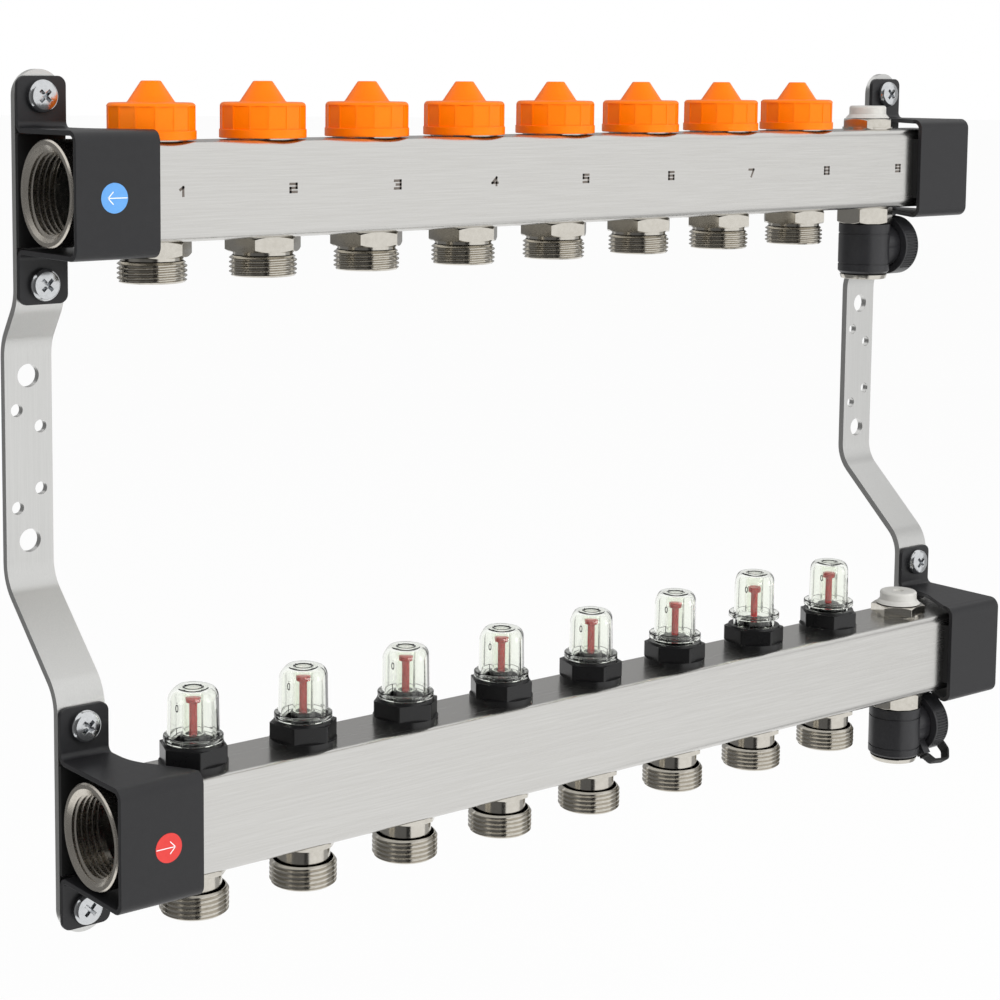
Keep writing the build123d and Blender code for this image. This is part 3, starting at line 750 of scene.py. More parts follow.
    @staticmethod
    def soften(
        piece: bpy.types.Object, width: float, segments: int = 2, angle_deg: float = 32
    ) -> bpy.types.Object:
        """Round the sharp edges of a piece.

        Args:
            piece: The piece.
            width: Width of the rounding in millimetres.
            segments: Facets across it.
            angle_deg: Least angle of an edge that is rounded.

        Returns:
            The piece.
        """
        Bench.hold(piece)
        bevel = piece.modifiers.new("edges", "BEVEL")
        bevel.width = width * MM
        bevel.segments = segments
        bevel.limit_method = "ANGLE"
        bevel.angle_limit = math.radians(angle_deg)
        bevel.use_clamp_overlap = True
        bpy.ops.object.modifier_apply(modifier="edges")
        return piece

    @staticmethod
    def join(name: str, pieces: Sequence[bpy.types.Object]) -> bpy.types.Object:
        """Join pieces into one object under a name, and return it."""
        Bench.hold(pieces[0])
        for piece in pieces:
            piece.select_set(True)
        if len(pieces) > 1:
            bpy.ops.object.join()
        pieces[0].name = name
        return pieces[0]

    @staticmethod
    def copy_at(piece: bpy.types.Object, place: Matrix) -> bpy.types.Object:
        """Copy a piece with its mesh, and write a place into the copy's mesh."""
        twin = piece.copy()
        twin.data = piece.data.copy()
        bpy.context.collection.objects.link(twin)
        twin.data.transform(place)
        return twin

    @staticmethod
    def spread(name: str, piece: bpy.types.Object, places: Sequence[Matrix]) -> bpy.types.Object:
        """Put a copy of a piece at each place, join the copies, and drop the first piece."""
        twins = [Bench.copy_at(piece, place) for place in places]
        bpy.data.objects.remove(piece, do_unlink=True)
        return Bench.join(name, twins)

    @staticmethod
    def from_node(name: str, node: bpy.types.Object) -> bpy.types.Object:
        """Copy a CAD node's mesh, merge its loose triangles and clear its flat faces of edges."""
        Bench.clear()
        piece = bpy.data.objects.new(name, node.data.copy())
        bpy.context.collection.objects.link(piece)
        Bench.hold(piece)
        bpy.ops.object.mode_set(mode="EDIT")
        bpy.ops.mesh.customdata_custom_splitnormals_clear()
        Bench.tidy()
        bpy.ops.object.mode_set(mode="EDIT")
        bpy.ops.mesh.select_all(action="SELECT")
        bpy.ops.mesh.dissolve_limited(angle_limit=math.radians(1.0))
        bpy.ops.object.mode_set(mode="OBJECT")
        return piece

    @staticmethod
    def finish(
        piece: bpy.types.Object, finish: Finish, body: str, slot: str,
        replaces: Sequence[str] = (), angle_deg: float = 35,
    ) -> bpy.types.Object:
        """Shade and dress a piece, and hang it on its body.

        Args:
            piece: The finished mesh.
            finish: Its material.
            body: Name of the body that it moves with.
            slot: The record's material slot; not used.
            replaces: CAD nodes that it stands for.
            angle_deg: Least angle of an edge that stays sharp.

        Returns:
            The piece.
        """
        Bench.hold(piece)
        piece.data.materials.clear()
        piece.data.materials.append(finish.material())
        bpy.ops.object.shade_smooth_by_angle(angle=math.radians(angle_deg))
        weigh = piece.modifiers.new("normals", "WEIGHTED_NORMAL")
        weigh.keep_sharp = True
        bpy.ops.object.modifier_apply(modifier="normals")
        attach(piece, body)
        if replaces:
            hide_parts(*replaces)
        LOG.info("%s: %d faces on %s", piece.name, len(piece.data.polygons), body)
        return piece


def arc(
    centre: tuple[float, float], radius: float, start_deg: float, end_deg: float, steps: int = 6
) -> list:
    """Points along an arc of a profile.

    Args:
        centre: Centre of the arc, in millimetres.
        radius: Its radius.
        start_deg: Direction of the first point, from the outward axis.
        end_deg: Direction of the last point.
        steps: Runs along the arc.

    Returns:
        The points, both ends among them.
    """
    turns = [math.radians(start_deg + (end_deg - start_deg) * n / steps) for n in range(steps + 1)]
    return [(centre[0] + radius * math.cos(t), centre[1] + radius * math.sin(t)) for t in turns]


def middle(node: str) -> tuple[float, float]:
    """X and Y of the middle of a CAD node's box, in metres."""
    low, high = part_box(node)
    return ((low[0] + high[0]) / 2, (low[1] + high[1]) / 2)


def ports() -> list[float]:
    """X of each circuit's axis in metres, read from the hand caps."""
    return [middle(f"hand_cap_{number}")[0] for number in range(1, CIRCUITS + 1)]


@dataclass
class Outlets:
    """Threaded outlets under one beam.

    Attributes:
        node: The CAD node that they stand for.
        slot: Its material slot.
        beam: The beam above them.
        hex_af: Width of the hexagon across its flats.
        hex_h: Its height.
        neck_r: Radius of the neck under it.
        neck_h: Length of the neck.
        thread_h: Length of the thread.
        crest_r: Thread radius at the crest.
        root_r: Thread radius at the root.
        pitch: Thread pitch.
        bore_r: Bore radius.
        seat_r: Radius of the coned seat at the mouth.
        spigot_r: Radius of the part inside the beam.
        spigot_h: How far it reaches up inside.
    """

    node: str
    slot: str
    beam: str
    hex_af: float
    hex_h: float
    neck_r: float
    neck_h: float
    thread_h: float
    crest_r: float = 13.2
    root_r: float = 12.15
    pitch: float = 1.814
    bore_r: float = 7.5
    seat_r: float = 9.3
    spigot_r: float = 10.1
    spigot_h: float = 6.5

    def threaded_end(self) -> bpy.types.Object:
        """Cut the outside thread with its chamfers, bore and seat."""
        top = -self.hex_h - self.neck_h
        foot = top - self.thread_h
        slope = self.crest_r - self.root_r
        rod = Bench.thread("thread", self.root_r, self.crest_r, self.pitch, foot - 1, top + 1, 64)
        blank = Bench.turn(
            "blank",
            [
                (self.bore_r, top), (self.root_r, top), (self.crest_r + 0.05, top - slope),
                (self.crest_r + 0.05, foot + slope), (self.root_r, foot), (self.seat_r, foot),
                (self.bore_r, foot + (self.seat_r - self.bore_r) * 2), (self.bore_r, top),
            ],
            64,
        )
        return Bench.merge(blank, rod, "INTERSECT")

    def shank(self) -> bpy.types.Object:
        """Turn the neck and the spigot round the bore."""
        top = -self.hex_h - self.neck_h
        edge = 0.3
        return Bench.turn(
            "shank",
            [
                (self.bore_r, top - 0.2), (self.root_r - 0.3, top - 0.2), (self.root_r - 0.3, top),
                (self.neck_r - edge, top), (self.neck_r, top + edge), (self.neck_r, -self.hex_h),
                (self.spigot_r, -self.hex_h), (self.spigot_r, self.spigot_h),
                (self.bore_r, self.spigot_h), (self.bore_r, top - 0.2),
            ],
            64,
        )

    def nut(self) -> bpy.types.Object:
        """Make the hexagon with its turned corners and the hole for the shank."""
        nut = Bench.prism("nut", 6, self.hex_af, -self.hex_h, 0, 30)
        far = self.hex_af * 0.62
        rim = self.hex_af / 2 + 0.1
        drop = (far - rim) * 0.5
        blank = Bench.turn(
            "blank",
            [
                (self.spigot_r - 0.4, -self.hex_h), (rim, -self.hex_h), (far, -self.hex_h + drop),
                (far, -drop), (rim, 0), (self.spigot_r - 0.4, 0),
                (self.spigot_r - 0.4, -self.hex_h),
            ],
            72,
        )
        Bench.merge(nut, blank, "INTERSECT")
        return Bench.soften(nut, 0.18, 2, 20)

    def build(self) -> None:
        """Model one outlet and put it under every circuit."""
        unit = Bench.join("outlet", [self.threaded_end(), self.shank(), self.nut()])
        low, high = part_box(self.beam)
        places = [
            Matrix.Translation((x, (low[1] + high[1]) / 2, low[2])) for x in ports()
        ]
        piece = Bench.spread(self.node + "_threaded", unit, places)
        Bench.finish(piece, NICKEL, "manifold", self.slot, [self.node], 28)


@dataclass
class EndSleeves:
    """Round sockets at the left ends of both beams, threaded inside.

    Attributes:
        outer_r: Outer radius.
        length: Length along the beam.
        crest_r: Inner radius at the thread's crests.
        root_r: Radius at its roots.
        pitch: Thread pitch.
        mouth: Depth of the coned mouth.
        edge: Outer chamfer.
    """

    outer_r: float = 19.8
    length: float = 12.0
    crest_r: float = 15.15
    root_r: float = 16.45
    pitch: float = 2.309
    mouth: float = 1.7
    edge: float = 0.6

    def build(self) -> None:
        """Tap one socket and put it on both beams."""
        # built standing, with the mouth up, then laid along the beam with the mouth to the left
        blank = Bench.turn(
            "socket",
            [
                (self.crest_r - 3, 0), (self.outer_r, 0), (self.outer_r, self.length - self.edge),
                (self.outer_r - self.edge, self.length), (self.crest_r - 3, self.length),
                (self.crest_r - 3, 0),
            ],
            96,
        )
        tap = Bench.thread("tap", self.crest_r, self.root_r, self.pitch, -2, self.length + 2, 72)
        Bench.merge(blank, tap, "DIFFERENCE")
        cone = Bench.turn(
            "cone",
            [
                (0, self.length - self.mouth), (self.crest_r, self.length - self.mouth),
                (self.crest_r + self.mouth * 1.5, self.length),
                (self.crest_r + self.mouth * 1.5, self.length + 1),
                (0, self.length + 1), (0, self.length - self.mouth),
            ],
            96,
        )
        Bench.merge(blank, cone, "DIFFERENCE")
        laid = Matrix.Rotation(math.radians(-90), 4, "Y")
        places = []
        for beam in ("upper_beam", "lower_beam"):
            low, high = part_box(beam)
            spot = (low[0], (low[1] + high[1]) / 2, (low[2] + high[2]) / 2)
            places.append(Matrix.Translation(spot) @ laid)
        piece = Bench.spread("end_sleeves_tapped", blank, places)
        Bench.finish(piece, SLEEVE_STEEL, "manifold", "sleeve_steel", ["end_sleeves"], 28)


@dataclass
class ClampScrews:
    """Pan-head screws with a cross recess, on the ears of the clamps.

    Attributes:
        head_r: Radius of the head.
        head_h: Height of the head.
        shank_r: Radius of the shank.
        shank: Length of the shank.
        slot: Length and width of the cross recess.
        depth: Depth of the recess.
        ears: How far the screws stand above and below the beam's middle.
        bar_half: Half the width of a wall bar; not used.
    """

    head_r: float = 6.2
    head_h: float = 3.58
    shank_r: float = 2.5
    shank: float = 9.5
    slot: tuple[float, float] = (7.2, 1.75)
    depth: float = 2.3
    ears: float = 35.0
    bar_half: float = 10.0

    def head(self) -> bpy.types.Object:
        """Turn the head with its domed top, and sink the cross into it."""
        crown = arc((self.head_r - 2.2, self.head_h - 2.35), 2.2, 0, 66, 6)
        head = Bench.turn(
            "head",
            [(0, -self.shank), (self.shank_r - 0.5, -self.shank),
             (self.shank_r, -self.shank + 0.7), (self.shank_r, 0), (self.head_r - 0.15, 0),
             (self.head_r, 0.3)]
            + crown
            + [(self.head_r * 0.4, self.head_h - 0.06), (0, self.head_h), (0, -self.shank)],
            56,
        )
        for turned in (45, 135):
            Bench.clear()
            height = (self.head_h - self.depth / 2 + 0.5) * MM
            bpy.ops.mesh.primitive_cube_add(size=MM, location=(0, 0, height))
            tool = bpy.context.object
            tool.scale = (self.slot[0], self.slot[1], self.depth + 1)
            tool.rotation_euler = (0, 0, math.radians(turned))
            bpy.ops.object.transform_apply(location=True, rotation=True, scale=True)
            Bench.pick(tool, "VERT", lambda co: co.z < self.head_h * MM - 0.0005)
            bpy.ops.transform.resize(value=(0.45, 0.45, 1), center_override=(0, 0, 0))
            bpy.ops.object.mode_set(mode="OBJECT")
            Bench.merge(head, tool, "DIFFERENCE")
        return Bench.soften(head, 0.12, 2, 40)

    def build(self) -> None:
        """Put a screw on each of the eight ears."""
        face = Matrix.Rotation(math.radians(90), 4, "X")
        places = []
        for level in ("upper", "lower"):
            low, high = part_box(f"{level}_beam")
            for word in ("left", "right"):
                plate_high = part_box(f"{level}_{word}_clamp")[1]
                bar_low, bar_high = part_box(f"{word}_wall_bar")
                x = (bar_low[0] + bar_high[0]) / 2
                front = plate_high[1] - 2.0 * MM
                for up in (-1, 1):
                    z = (low[2] + high[2]) / 2 + up * self.ears * MM
                    places.append(Matrix.Translation((x, front, z)) @ face)
        piece = Bench.spread("clamp_screws_crossed", self.head(), places)
        Bench.finish(piece, SCREW_ZINC, "manifold", "screw_zinc", ["clamp_screws"], 30)


@dataclass
class HandCaps:
    """Orange hand caps, one on each valve.

    Attributes:
        skirt_r: Radius of the smooth skirt.
        skirt_h: Its height.
        body_r: Radius of the ribs.
        body_top: Height of the shoulder.
        edge: Radius of the shoulder's edge.
        panel_r: Distance of the flat panels from the axis.
        panel_top: Height of the panels' upper ends.
        panels: Number of panels.
        panel_w: Width of a panel.
        cone: Radii of the cone at its base and tip.
        top: Height of the tip.
        bore_r: Inner radius.
        ceiling: Height of the inner ceiling.
    """

    skirt_r: float = 16.9
    skirt_h: float = 3.4
    body_r: float = 16.6
    body_top: float = 13.7
    edge: float = 1.6
    panel_r: float = 16.0
    panel_top: float = 12.3
    panels: int = 14
    panel_w: float = 6.8
    cone: tuple[float, float] = (9.0, 3.55)
    top: float = 21.8
    bore_r: float = 15.0
    ceiling: float = 11.2

    def model(self) -> bpy.types.Object:
        """Turn the cap, mill its panels and round its edges."""
        tip = 1.0
        cap = Bench.turn(
            "cap",
            [(self.bore_r, 0), (self.skirt_r - 0.25, 0), (self.skirt_r, 0.25),
             (self.skirt_r, self.skirt_h - 0.15), (self.body_r, self.skirt_h + 0.1)]
            + arc((self.body_r - self.edge, self.body_top - self.edge), self.edge, 0, 90, 5)
            + [(self.cone[0] + 0.5, self.body_top), (self.cone[0] - 0.15, self.body_top + 0.35)]
            + arc((self.cone[1] - tip * 0.4, self.top - tip), tip, 42, 90, 4)
            + [(0, self.top), (0, self.ceiling), (self.bore_r, self.ceiling), (self.bore_r, 0)],
            self.panels * 8,
        )
        tools = []
        for number in range(self.panels):
            Bench.clear()
            bpy.ops.mesh.primitive_cube_add(size=MM, location=(0, 0, 0))
            tool = bpy.context.object
            tool.scale = (2, self.panel_w, self.panel_top - self.skirt_h)
            tool.location = ((self.panel_r + 1) * MM, 0, (self.panel_top + self.skirt_h) / 2 * MM)
            bpy.ops.object.transform_apply(location=True, rotation=True, scale=True)
            tool.data.transform(Matrix.Rotation(2 * math.pi * number / self.panels, 4, "Z"))
            tools.append(tool)
        Bench.merge(cap, Bench.join("mill", tools), "DIFFERENCE")
        return Bench.soften(cap, 0.22, 2, 24)

    def build(self) -> None:
        """Put a cap on each valve."""
        cap = self.model()
        for number in range(1, CIRCUITS + 1):
            node = f"hand_cap_{number}"
            x, y = middle(node)
            twin = Bench.copy_at(cap, Matrix.Translation((x, y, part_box(node)[0][2])))
            twin.name = f"hand_cap_{number}_moulded"
            Bench.finish(twin, CAP_ORANGE, f"cap_{number}", "cap_orange", [node], 30)
        bpy.data.objects.remove(cap, do_unlink=True)


@dataclass
class FlowMeters:
    """Clear domes with their gauge tubes, and the red indicators inside.

    Attributes:
        neck: Radius and length of the neck in the nut.
        flange: Radius and height of the flange.
        round_r: Radius of the two round sides.
        flat_r: Distance of the two finger flats from the axis.
        corner_r: Radius between a flat and a round side.
        turn_deg: Direction of a flat, from +X.
        draft: How much the dome's radius shrinks up to its shoulder.
        shoulder_r: Radius of the shoulder.
        top: Height of the dome.
        dimple: Radius and depth of the sunken disc on its top.
        wall: Thickness of the wall.
        roof: Thickness of the top.
        gauge: Outer and inner radius of the gauge tube.
        gauge_foot: Height of the tube's lower end.
        flag: Radius and height of the indicator's head.
        stem_r: Radius of its stem.
        stem: Length of the stem.
        disc: Radius and height of the disc in the flow.
        prints: Text, height, direction from +X and middle of each figure of the scale.
    """

    neck: tuple[float, float] = (9.2, 6.6)
    flange: tuple[float, float] = (11.35, 2.4)
    round_r: float = 10.75
    flat_r: float = 8.9
    corner_r: float = 5.5
    turn_deg: float = -49.0
    draft: float = 0.3
    shoulder_r: float = 5.0
    top: float = 20.55
    dimple: tuple[float, float] = (3.3, 0.4)
    wall: float = 1.5
    roof: float = 1.5
    gauge: tuple[float, float] = (4.0, 3.15)
    gauge_foot: float = 2.7
    flag: tuple[float, float] = (2.85, 2.4)
    stem_r: float = 1.5
    stem: float = 32.0
    disc: tuple[float, float] = (4.0, 2.0)
    prints: tuple = (
        ("0", 3.0, -157.0, 14.3),
        ("-", 1.6, -157.0, 16.8),
        ("l", 2.9, -157.0, 5.6),
        ("l/min", 0.9, -80.0, 6.8),
    )

    def reach(self, turn: float) -> float:
        """Distance of the dome's skin from its axis in one direction.

        Args:
            turn: Direction in radians, from +X.

        Returns:
            The distance in millimetres.
        """
        off = turn - math.radians(self.turn_deg + 90)
        run_share, rise_share = abs(math.cos(off)), abs(math.sin(off))
        rise = self.flat_r - self.corner_r
        run = math.sqrt((self.round_r - self.corner_r) ** 2 - rise**2)
        if math.atan2(rise_share, run_share) < math.atan2(rise, run):
            return self.round_r
        near = run * run_share + rise * rise_share
        far = near + math.sqrt(near**2 - run**2 - rise**2 + self.corner_r**2)
        return far if far * run_share > run else self.flat_r / rise_share

    def dome(self) -> bpy.types.Object:
        """Turn the dome in one piece with its gauge tube, and press its two finger flats."""
        r, h = self.flange
        neck_r, neck_h = self.neck
        outer, inner = self.gauge
        ring, sunk = self.dimple
        waist = self.round_r - self.draft
        hub = (waist - self.shoulder_r, self.top - self.shoulder_r)
        ceiling = self.top - self.roof
        vault = self.shoulder_r - self.wall
        steps = [n / 5 for n in range(6)]
        side = [(self.round_r - self.draft * n, h + 0.02 + (hub[1] - h) * n) for n in steps]
        inside = [(x - self.wall, z) for x, z in reversed(side)]
        dome = Bench.turn(
            "dome",
            [(neck_r - 1, -neck_h), (neck_r - 0.2, -neck_h), (neck_r, 0.2 - neck_h), (neck_r, 0),
             (r - 0.25, 0), (r, 0.25)]
            + arc((self.round_r, h - 0.6), r - self.round_r, 0, 90, 4)
            + side
            + arc(hub, self.shoulder_r, 8, 86, 10)
            + [(ring + 0.3, self.top), (ring, self.top - 0.15), (ring - 0.1, self.top - sunk),
               (0, self.top - sunk), (0, ceiling), (inner, ceiling), (inner, self.gauge_foot),
               (outer, self.gauge_foot), (outer, hub[1] + vault)]
            + list(reversed(arc(hub, vault, 8, 86, 8)))
            + inside
            + [(self.round_r - self.wall, 1.0), (neck_r - 1, 1.0), (neck_r - 1, -neck_h)],
            96,
        )
        still = outer + 0.6
        for vertex in dome.data.vertices:
            x, y, z = (v / MM for v in vertex.co)
            away = math.hypot(x, y)
            shell = z > h + 0.01 or (z > 0.99 and away < self.round_r - 0.5)
            if shell and away > still:
                share = (self.reach(math.atan2(y, x)) - still) / (self.round_r - still)
                scale = (still + (away - still) * share) / away
                vertex.co.x *= scale
                vertex.co.y *= scale
        return dome

    def indicator(self) -> bpy.types.Object:
        """Turn the indicator with its grooved head."""
        r, h = self.flag
        disc_r, disc_h = self.disc
        head = self.stem + disc_h
        return Bench.turn(
            "indicator",
            [(0, 0), (disc_r - 0.2, 0), (disc_r, 0.2), (disc_r, disc_h - 0.2),
             (disc_r - 0.2, disc_h), (self.stem_r, disc_h), (self.stem_r, head - 0.2),
             (r - 0.5, head + 0.05), (r - 0.12, head + 0.25), (r - 0.05, head + 0.9),
             (r - 0.3, head + 1.1), (r - 0.05, head + 1.3), (r, head + h - 0.2),
             (r - 0.2, head + h), (0, head + h), (0, 0)],
            40,
        )

    def build(self) -> None:
        """Put a dome and an indicator on each flow meter."""
        dome = self.dome()
        flag = self.indicator()
        for number in range(1, CIRCUITS + 1):
            node = f"meter_dome_{number}"
            x, y = middle(node)
            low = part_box(node)[0][2] + self.neck[1] * MM
            twin = Bench.copy_at(dome, Matrix.Translation((x, y, low)))
            twin.name = f"meter_dome_{number}_clear"
            Bench.finish(twin, DOME_CLEAR, f"dome_{number}", "dome_clear", [node], 40)
            self.marks(number, twin, x, y, low)
            node = f"flow_indicator_{number}"
            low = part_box(node)[0][2]
            twin = Bench.copy_at(flag, Matrix.Translation((x, y, low)))
            twin.name = f"flow_indicator_{number}_red"
            Bench.finish(twin, FLAG_RED, f"indicator_{number}", "flag_red", [node], 40)
        bpy.data.objects.remove(dome, do_unlink=True)
        bpy.data.objects.remove(flag, do_unlink=True)

    def marks(self, number: int, dome: bpy.types.Object, x: float, y: float, low: float) -> None:
        """Print the scale's figures on one dome.

        Args:
            number: The circuit.
            dome: The dome that is printed on.
            x: X of the meter's axis, in metres.
            y: Y of the axis.
            low: Height of the dome's flange, in metres.
        """
        marks = []
        for text, size, turn, height in self.prints:
            figure = Lettering(text, size, 0.0, 0.75).mesh()
            figure.data.transform(Matrix.Translation((0, -(self.round_r + 0.3) * MM, height * MM)))
            figure.data.transform(Matrix.Rotation(math.radians(turn + 90), 4, "Z"))
            figure.data.transform(Matrix.Translation((x, y, low)))
            marks.append(figure)
        piece = Bench.join(f"meter_scale_{number}", marks)
        Bench.hold(piece)
        wrap = piece.modifiers.new("wrap", "SHRINKWRAP")
        wrap.target = dome
        wrap.wrap_mode = "ABOVE_SURFACE"
        wrap.offset = 0.02 * MM
        bpy.ops.object.modifier_apply(modifier="wrap")
        Bench.finish(piece, PRINT_BLACK, f"dome_{number}", "dome_clear", [], 30)


def stripe(
    start: tuple[float, float], end: tuple[float, float], y: float, wide: float, thick: float,
    over: float = 0.0,
) -> bpy.types.Object:
    """Lay a flat line in the XZ plane.

    Args:
        start: X and Z of its start, in millimetres.
        end: X and Z of its end.
        y: Y of its middle plane, in metres.
        wide: Width of the line, in millimetres.
        thick: Its thickness.
        over: How far it runs past both ends.

    Returns:
        The line as a thin box.
    """
    run = Vector((end[0] - start[0], end[1] - start[1]))
    Bench.clear()
    bpy.ops.mesh.primitive_cube_add(size=MM)
    line = bpy.context.object
    line.scale = (run.length + 2 * over, thick, wide)
    bpy.ops.object.transform_apply(scale=True)
    line.data.transform(Matrix.Rotation(-math.atan2(run.y, run.x), 4, "Y"))
    centre = ((start[0] + end[0]) / 2 * MM, y, (start[1] + end[1]) / 2 * MM)
    line.data.transform(Matrix.Translation(centre))
    return line


@dataclass
class Lettering:
    """A short text as a thin mesh that faces the room.

    Attributes:
        text: The characters.
        height: Height of a capital in millimetres.
        depth: Thickness of the print.
        wide: Stretch of the letters across.
    """

    text: str
    height: float
    depth: float = 0.03
    wide: float = 1.0

    def mesh(self) -> bpy.types.Object:
        """Type the text, thicken it and turn it into a mesh at the origin."""
        Bench.clear()
        bpy.ops.object.text_add(location=(0, 0, 0))
        words = bpy.context.object
        words.data.body = self.text
        words.data.align_x = "CENTER"
        words.data.align_y = "CENTER"
        words.data.size = self.height / 0.73 * MM
        words.data.offset = 0.018 * self.height * MM
        words.data.extrude = self.depth / 2 * MM
        words.data.resolution_u = 6
        bpy.ops.object.convert(target="MESH")
        words = bpy.context.object
        words.scale = (self.wide, 1, 1)
        words.rotation_euler = (math.radians(90), 0, 0)
        bpy.ops.object.transform_apply(location=True, rotation=True, scale=True)
        bpy.ops.object.mode_set(mode="EDIT")
        Bench.tidy()
        return words


# Printed marks and stickers: flat inks, slightly uneven
PRINT_BLACK = Finish(
    "black_pad_print", "#151515", "#2c2c2c", roughness=0.45, spread=0.04,
    relief=Relief.GRAINED, grain_mm=0.3, bump_mm=0.001, mix=0.5,
)
PRINT_BROWN = Finish(
    "laser_marked_steel", "#5d5650", "#7a716a", roughness=0.5, spread=0.05,
    relief=Relief.GRAINED, grain_mm=0.3, bump_mm=0.001, mix=0.6,
)
LABEL_BLUE = Finish(
    "blue_vinyl_label", "#5b9bdd", "#6aa6e2", roughness=0.4, spread=0.04,
    relief=Relief.GRAINED, grain_mm=0.8, bump_mm=0.001, mix=0.5,
)
LABEL_RED = Finish(
    "red_vinyl_label", "#d8332f", "#e0443e", roughness=0.4, spread=0.04,
    relief=Relief.GRAINED, grain_mm=0.8, bump_mm=0.001, mix=0.5,
)
LABEL_WHITE = Finish(
    "white_label_print", "#f2f4f6", "#e6e9ec", roughness=0.4, spread=0.04,
    relief=Relief.GRAINED, grain_mm=0.8, bump_mm=0.001, mix=0.4,
)


@dataclass
class FlowLabel:
    """Round label with an arrow on a clamp's front.

    Attributes:
        clamp: Node of the clamp that it is stuck on.
        words: Prefix of the piece names.
        finish: Colour of the disc.
        slot: Material slot.
        x_mm: X of its middle.
        dz_mm: Height over the middle of the clamp.
        ahead: 1 for an arrow to the right, -1 for one to the left.
        radius: Radius of the label.
        thick: Thickness of the label.
        stroke: Width of the arrow's lines.
    """

    clamp: str
    words: str
    finish: Finish
    slot: str
    x_mm: float
    dz_mm: float
    ahead: int
    radius: float = 5.5
    thick: float = 0.12
    stroke: float = 0.34

    def build(self) -> None:
        """Stick the disc and its arrow on the clamp."""
        low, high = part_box(self.clamp)
        height = (low[2] + high[2]) / 2 + self.dz_mm * MM
        place = Matrix.Translation((self.x_mm * MM, low[1], height))
        Bench.clear()
        bpy.ops.mesh.primitive_cylinder_add(
            vertices=72, radius=self.radius * MM, depth=self.thick * MM,
            location=(0, -self.thick / 2 * MM, 0), rotation=(math.radians(90), 0, 0),
        )
        disc = bpy.context.object
        bpy.ops.object.transform_apply(location=True, rotation=True, scale=True)
        Bench.soften(disc, 0.04, 2)
        disc.data.transform(place)
        disc.name = f"{self.words}_label"
        Bench.finish(disc, self.finish, "manifold", self.slot, [], 30)
        tip = (2.7 * self.ahead, 0.0)
        y = -(self.thick + 0.02) * MM
        back = 0.5 * self.ahead
        ends = [(-5.2 * self.ahead, 0.0), (back, 2.3), (back, -2.3)]
        arrow = Bench.join(
            f"{self.words}_arrow", [stripe(tip, end, y, self.stroke, 0.05) for end in ends]
        )
        arrow.data.transform(place)
        Bench.finish(arrow, LABEL_WHITE, "manifold", self.slot, [], 30)


@dataclass
class PortNumbers:
    """Square-drawn numbers on the front of the upper beam, one beside each port.

    Attributes:
        half_w: Half the width of a digit between the middles of its strokes, in millimetres.
        half_h: Half its height.
        stroke: Width of the strokes.
        dx: How far right of the port's axis they stand.
        dz: How far above the beam's middle.
        strokes: Runs of each digit, as corners in halves of its width and height.
    """

    half_w: float = 1.43
    half_h: float = 1.52
    stroke: float = 1.0
    dx: float = 2.3
    dz: float = 0.4
    strokes: tuple = (
        (((-0.35, 0.45), (0.5, 1), (0.5, -1)),),
        (((-1, 1), (1, 1), (1, 0), (-1, 0), (-1, -1), (1, -1)),),
        (((-1, 1), (1, 1), (1, -1), (-1, -1)), ((-0.4, 0), (1, 0))),
        (((0.55, -1), (0.55, 1), (-1, -0.4), (1, -0.4)),),
        (((1, 1), (-1, 1), (-1, 0.1), (1, 0.1), (1, -1), (-1, -1)),),
        (((1, 1), (-1, 1), (-1, -1), (1, -1), (1, 0), (-1, 0)),),
        (((-1, 1), (1, 1), (0, -1)),),
        (((-1, -1), (-1, 1), (1, 1), (1, -1), (-1, -1)), ((-1, 0), (1, 0))),
        (((1, 0), (-1, 0), (-1, 1), (1, 1), (1, -1), (-1, -1)),),
    )

    def digit(self, runs: Sequence) -> bpy.types.Object:
        """Lay the strokes of one digit in the XZ plane."""
        bars = []
        for run in runs:
            spots = [(x * self.half_w, z * self.half_h) for x, z in run]
            for start, end in zip(spots, spots[1:]):
                bars.append(stripe(start, end, -0.01 * MM, self.stroke, 0.02, self.stroke / 2))
        return Bench.join("digit", bars)

    def build(self) -> None:
        """Mark every port, the service port among them."""
        low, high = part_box("upper_beam")
        spots = ports()
        spots.append(spots[-1] + (spots[1] - spots[0]))
        height = (low[2] + high[2]) / 2 + self.dz * MM
        digits = []
        for x, runs in zip(spots, self.strokes):
            digit = self.digit(runs)
            digit.data.transform(Matrix.Translation((x + self.dx * MM, low[1], height)))
            digits.append(digit)
        piece = Bench.join("port_numbers", digits)
        Bench.finish(piece, PRINT_BROWN, "manifold", "beam_steel", [], 30)


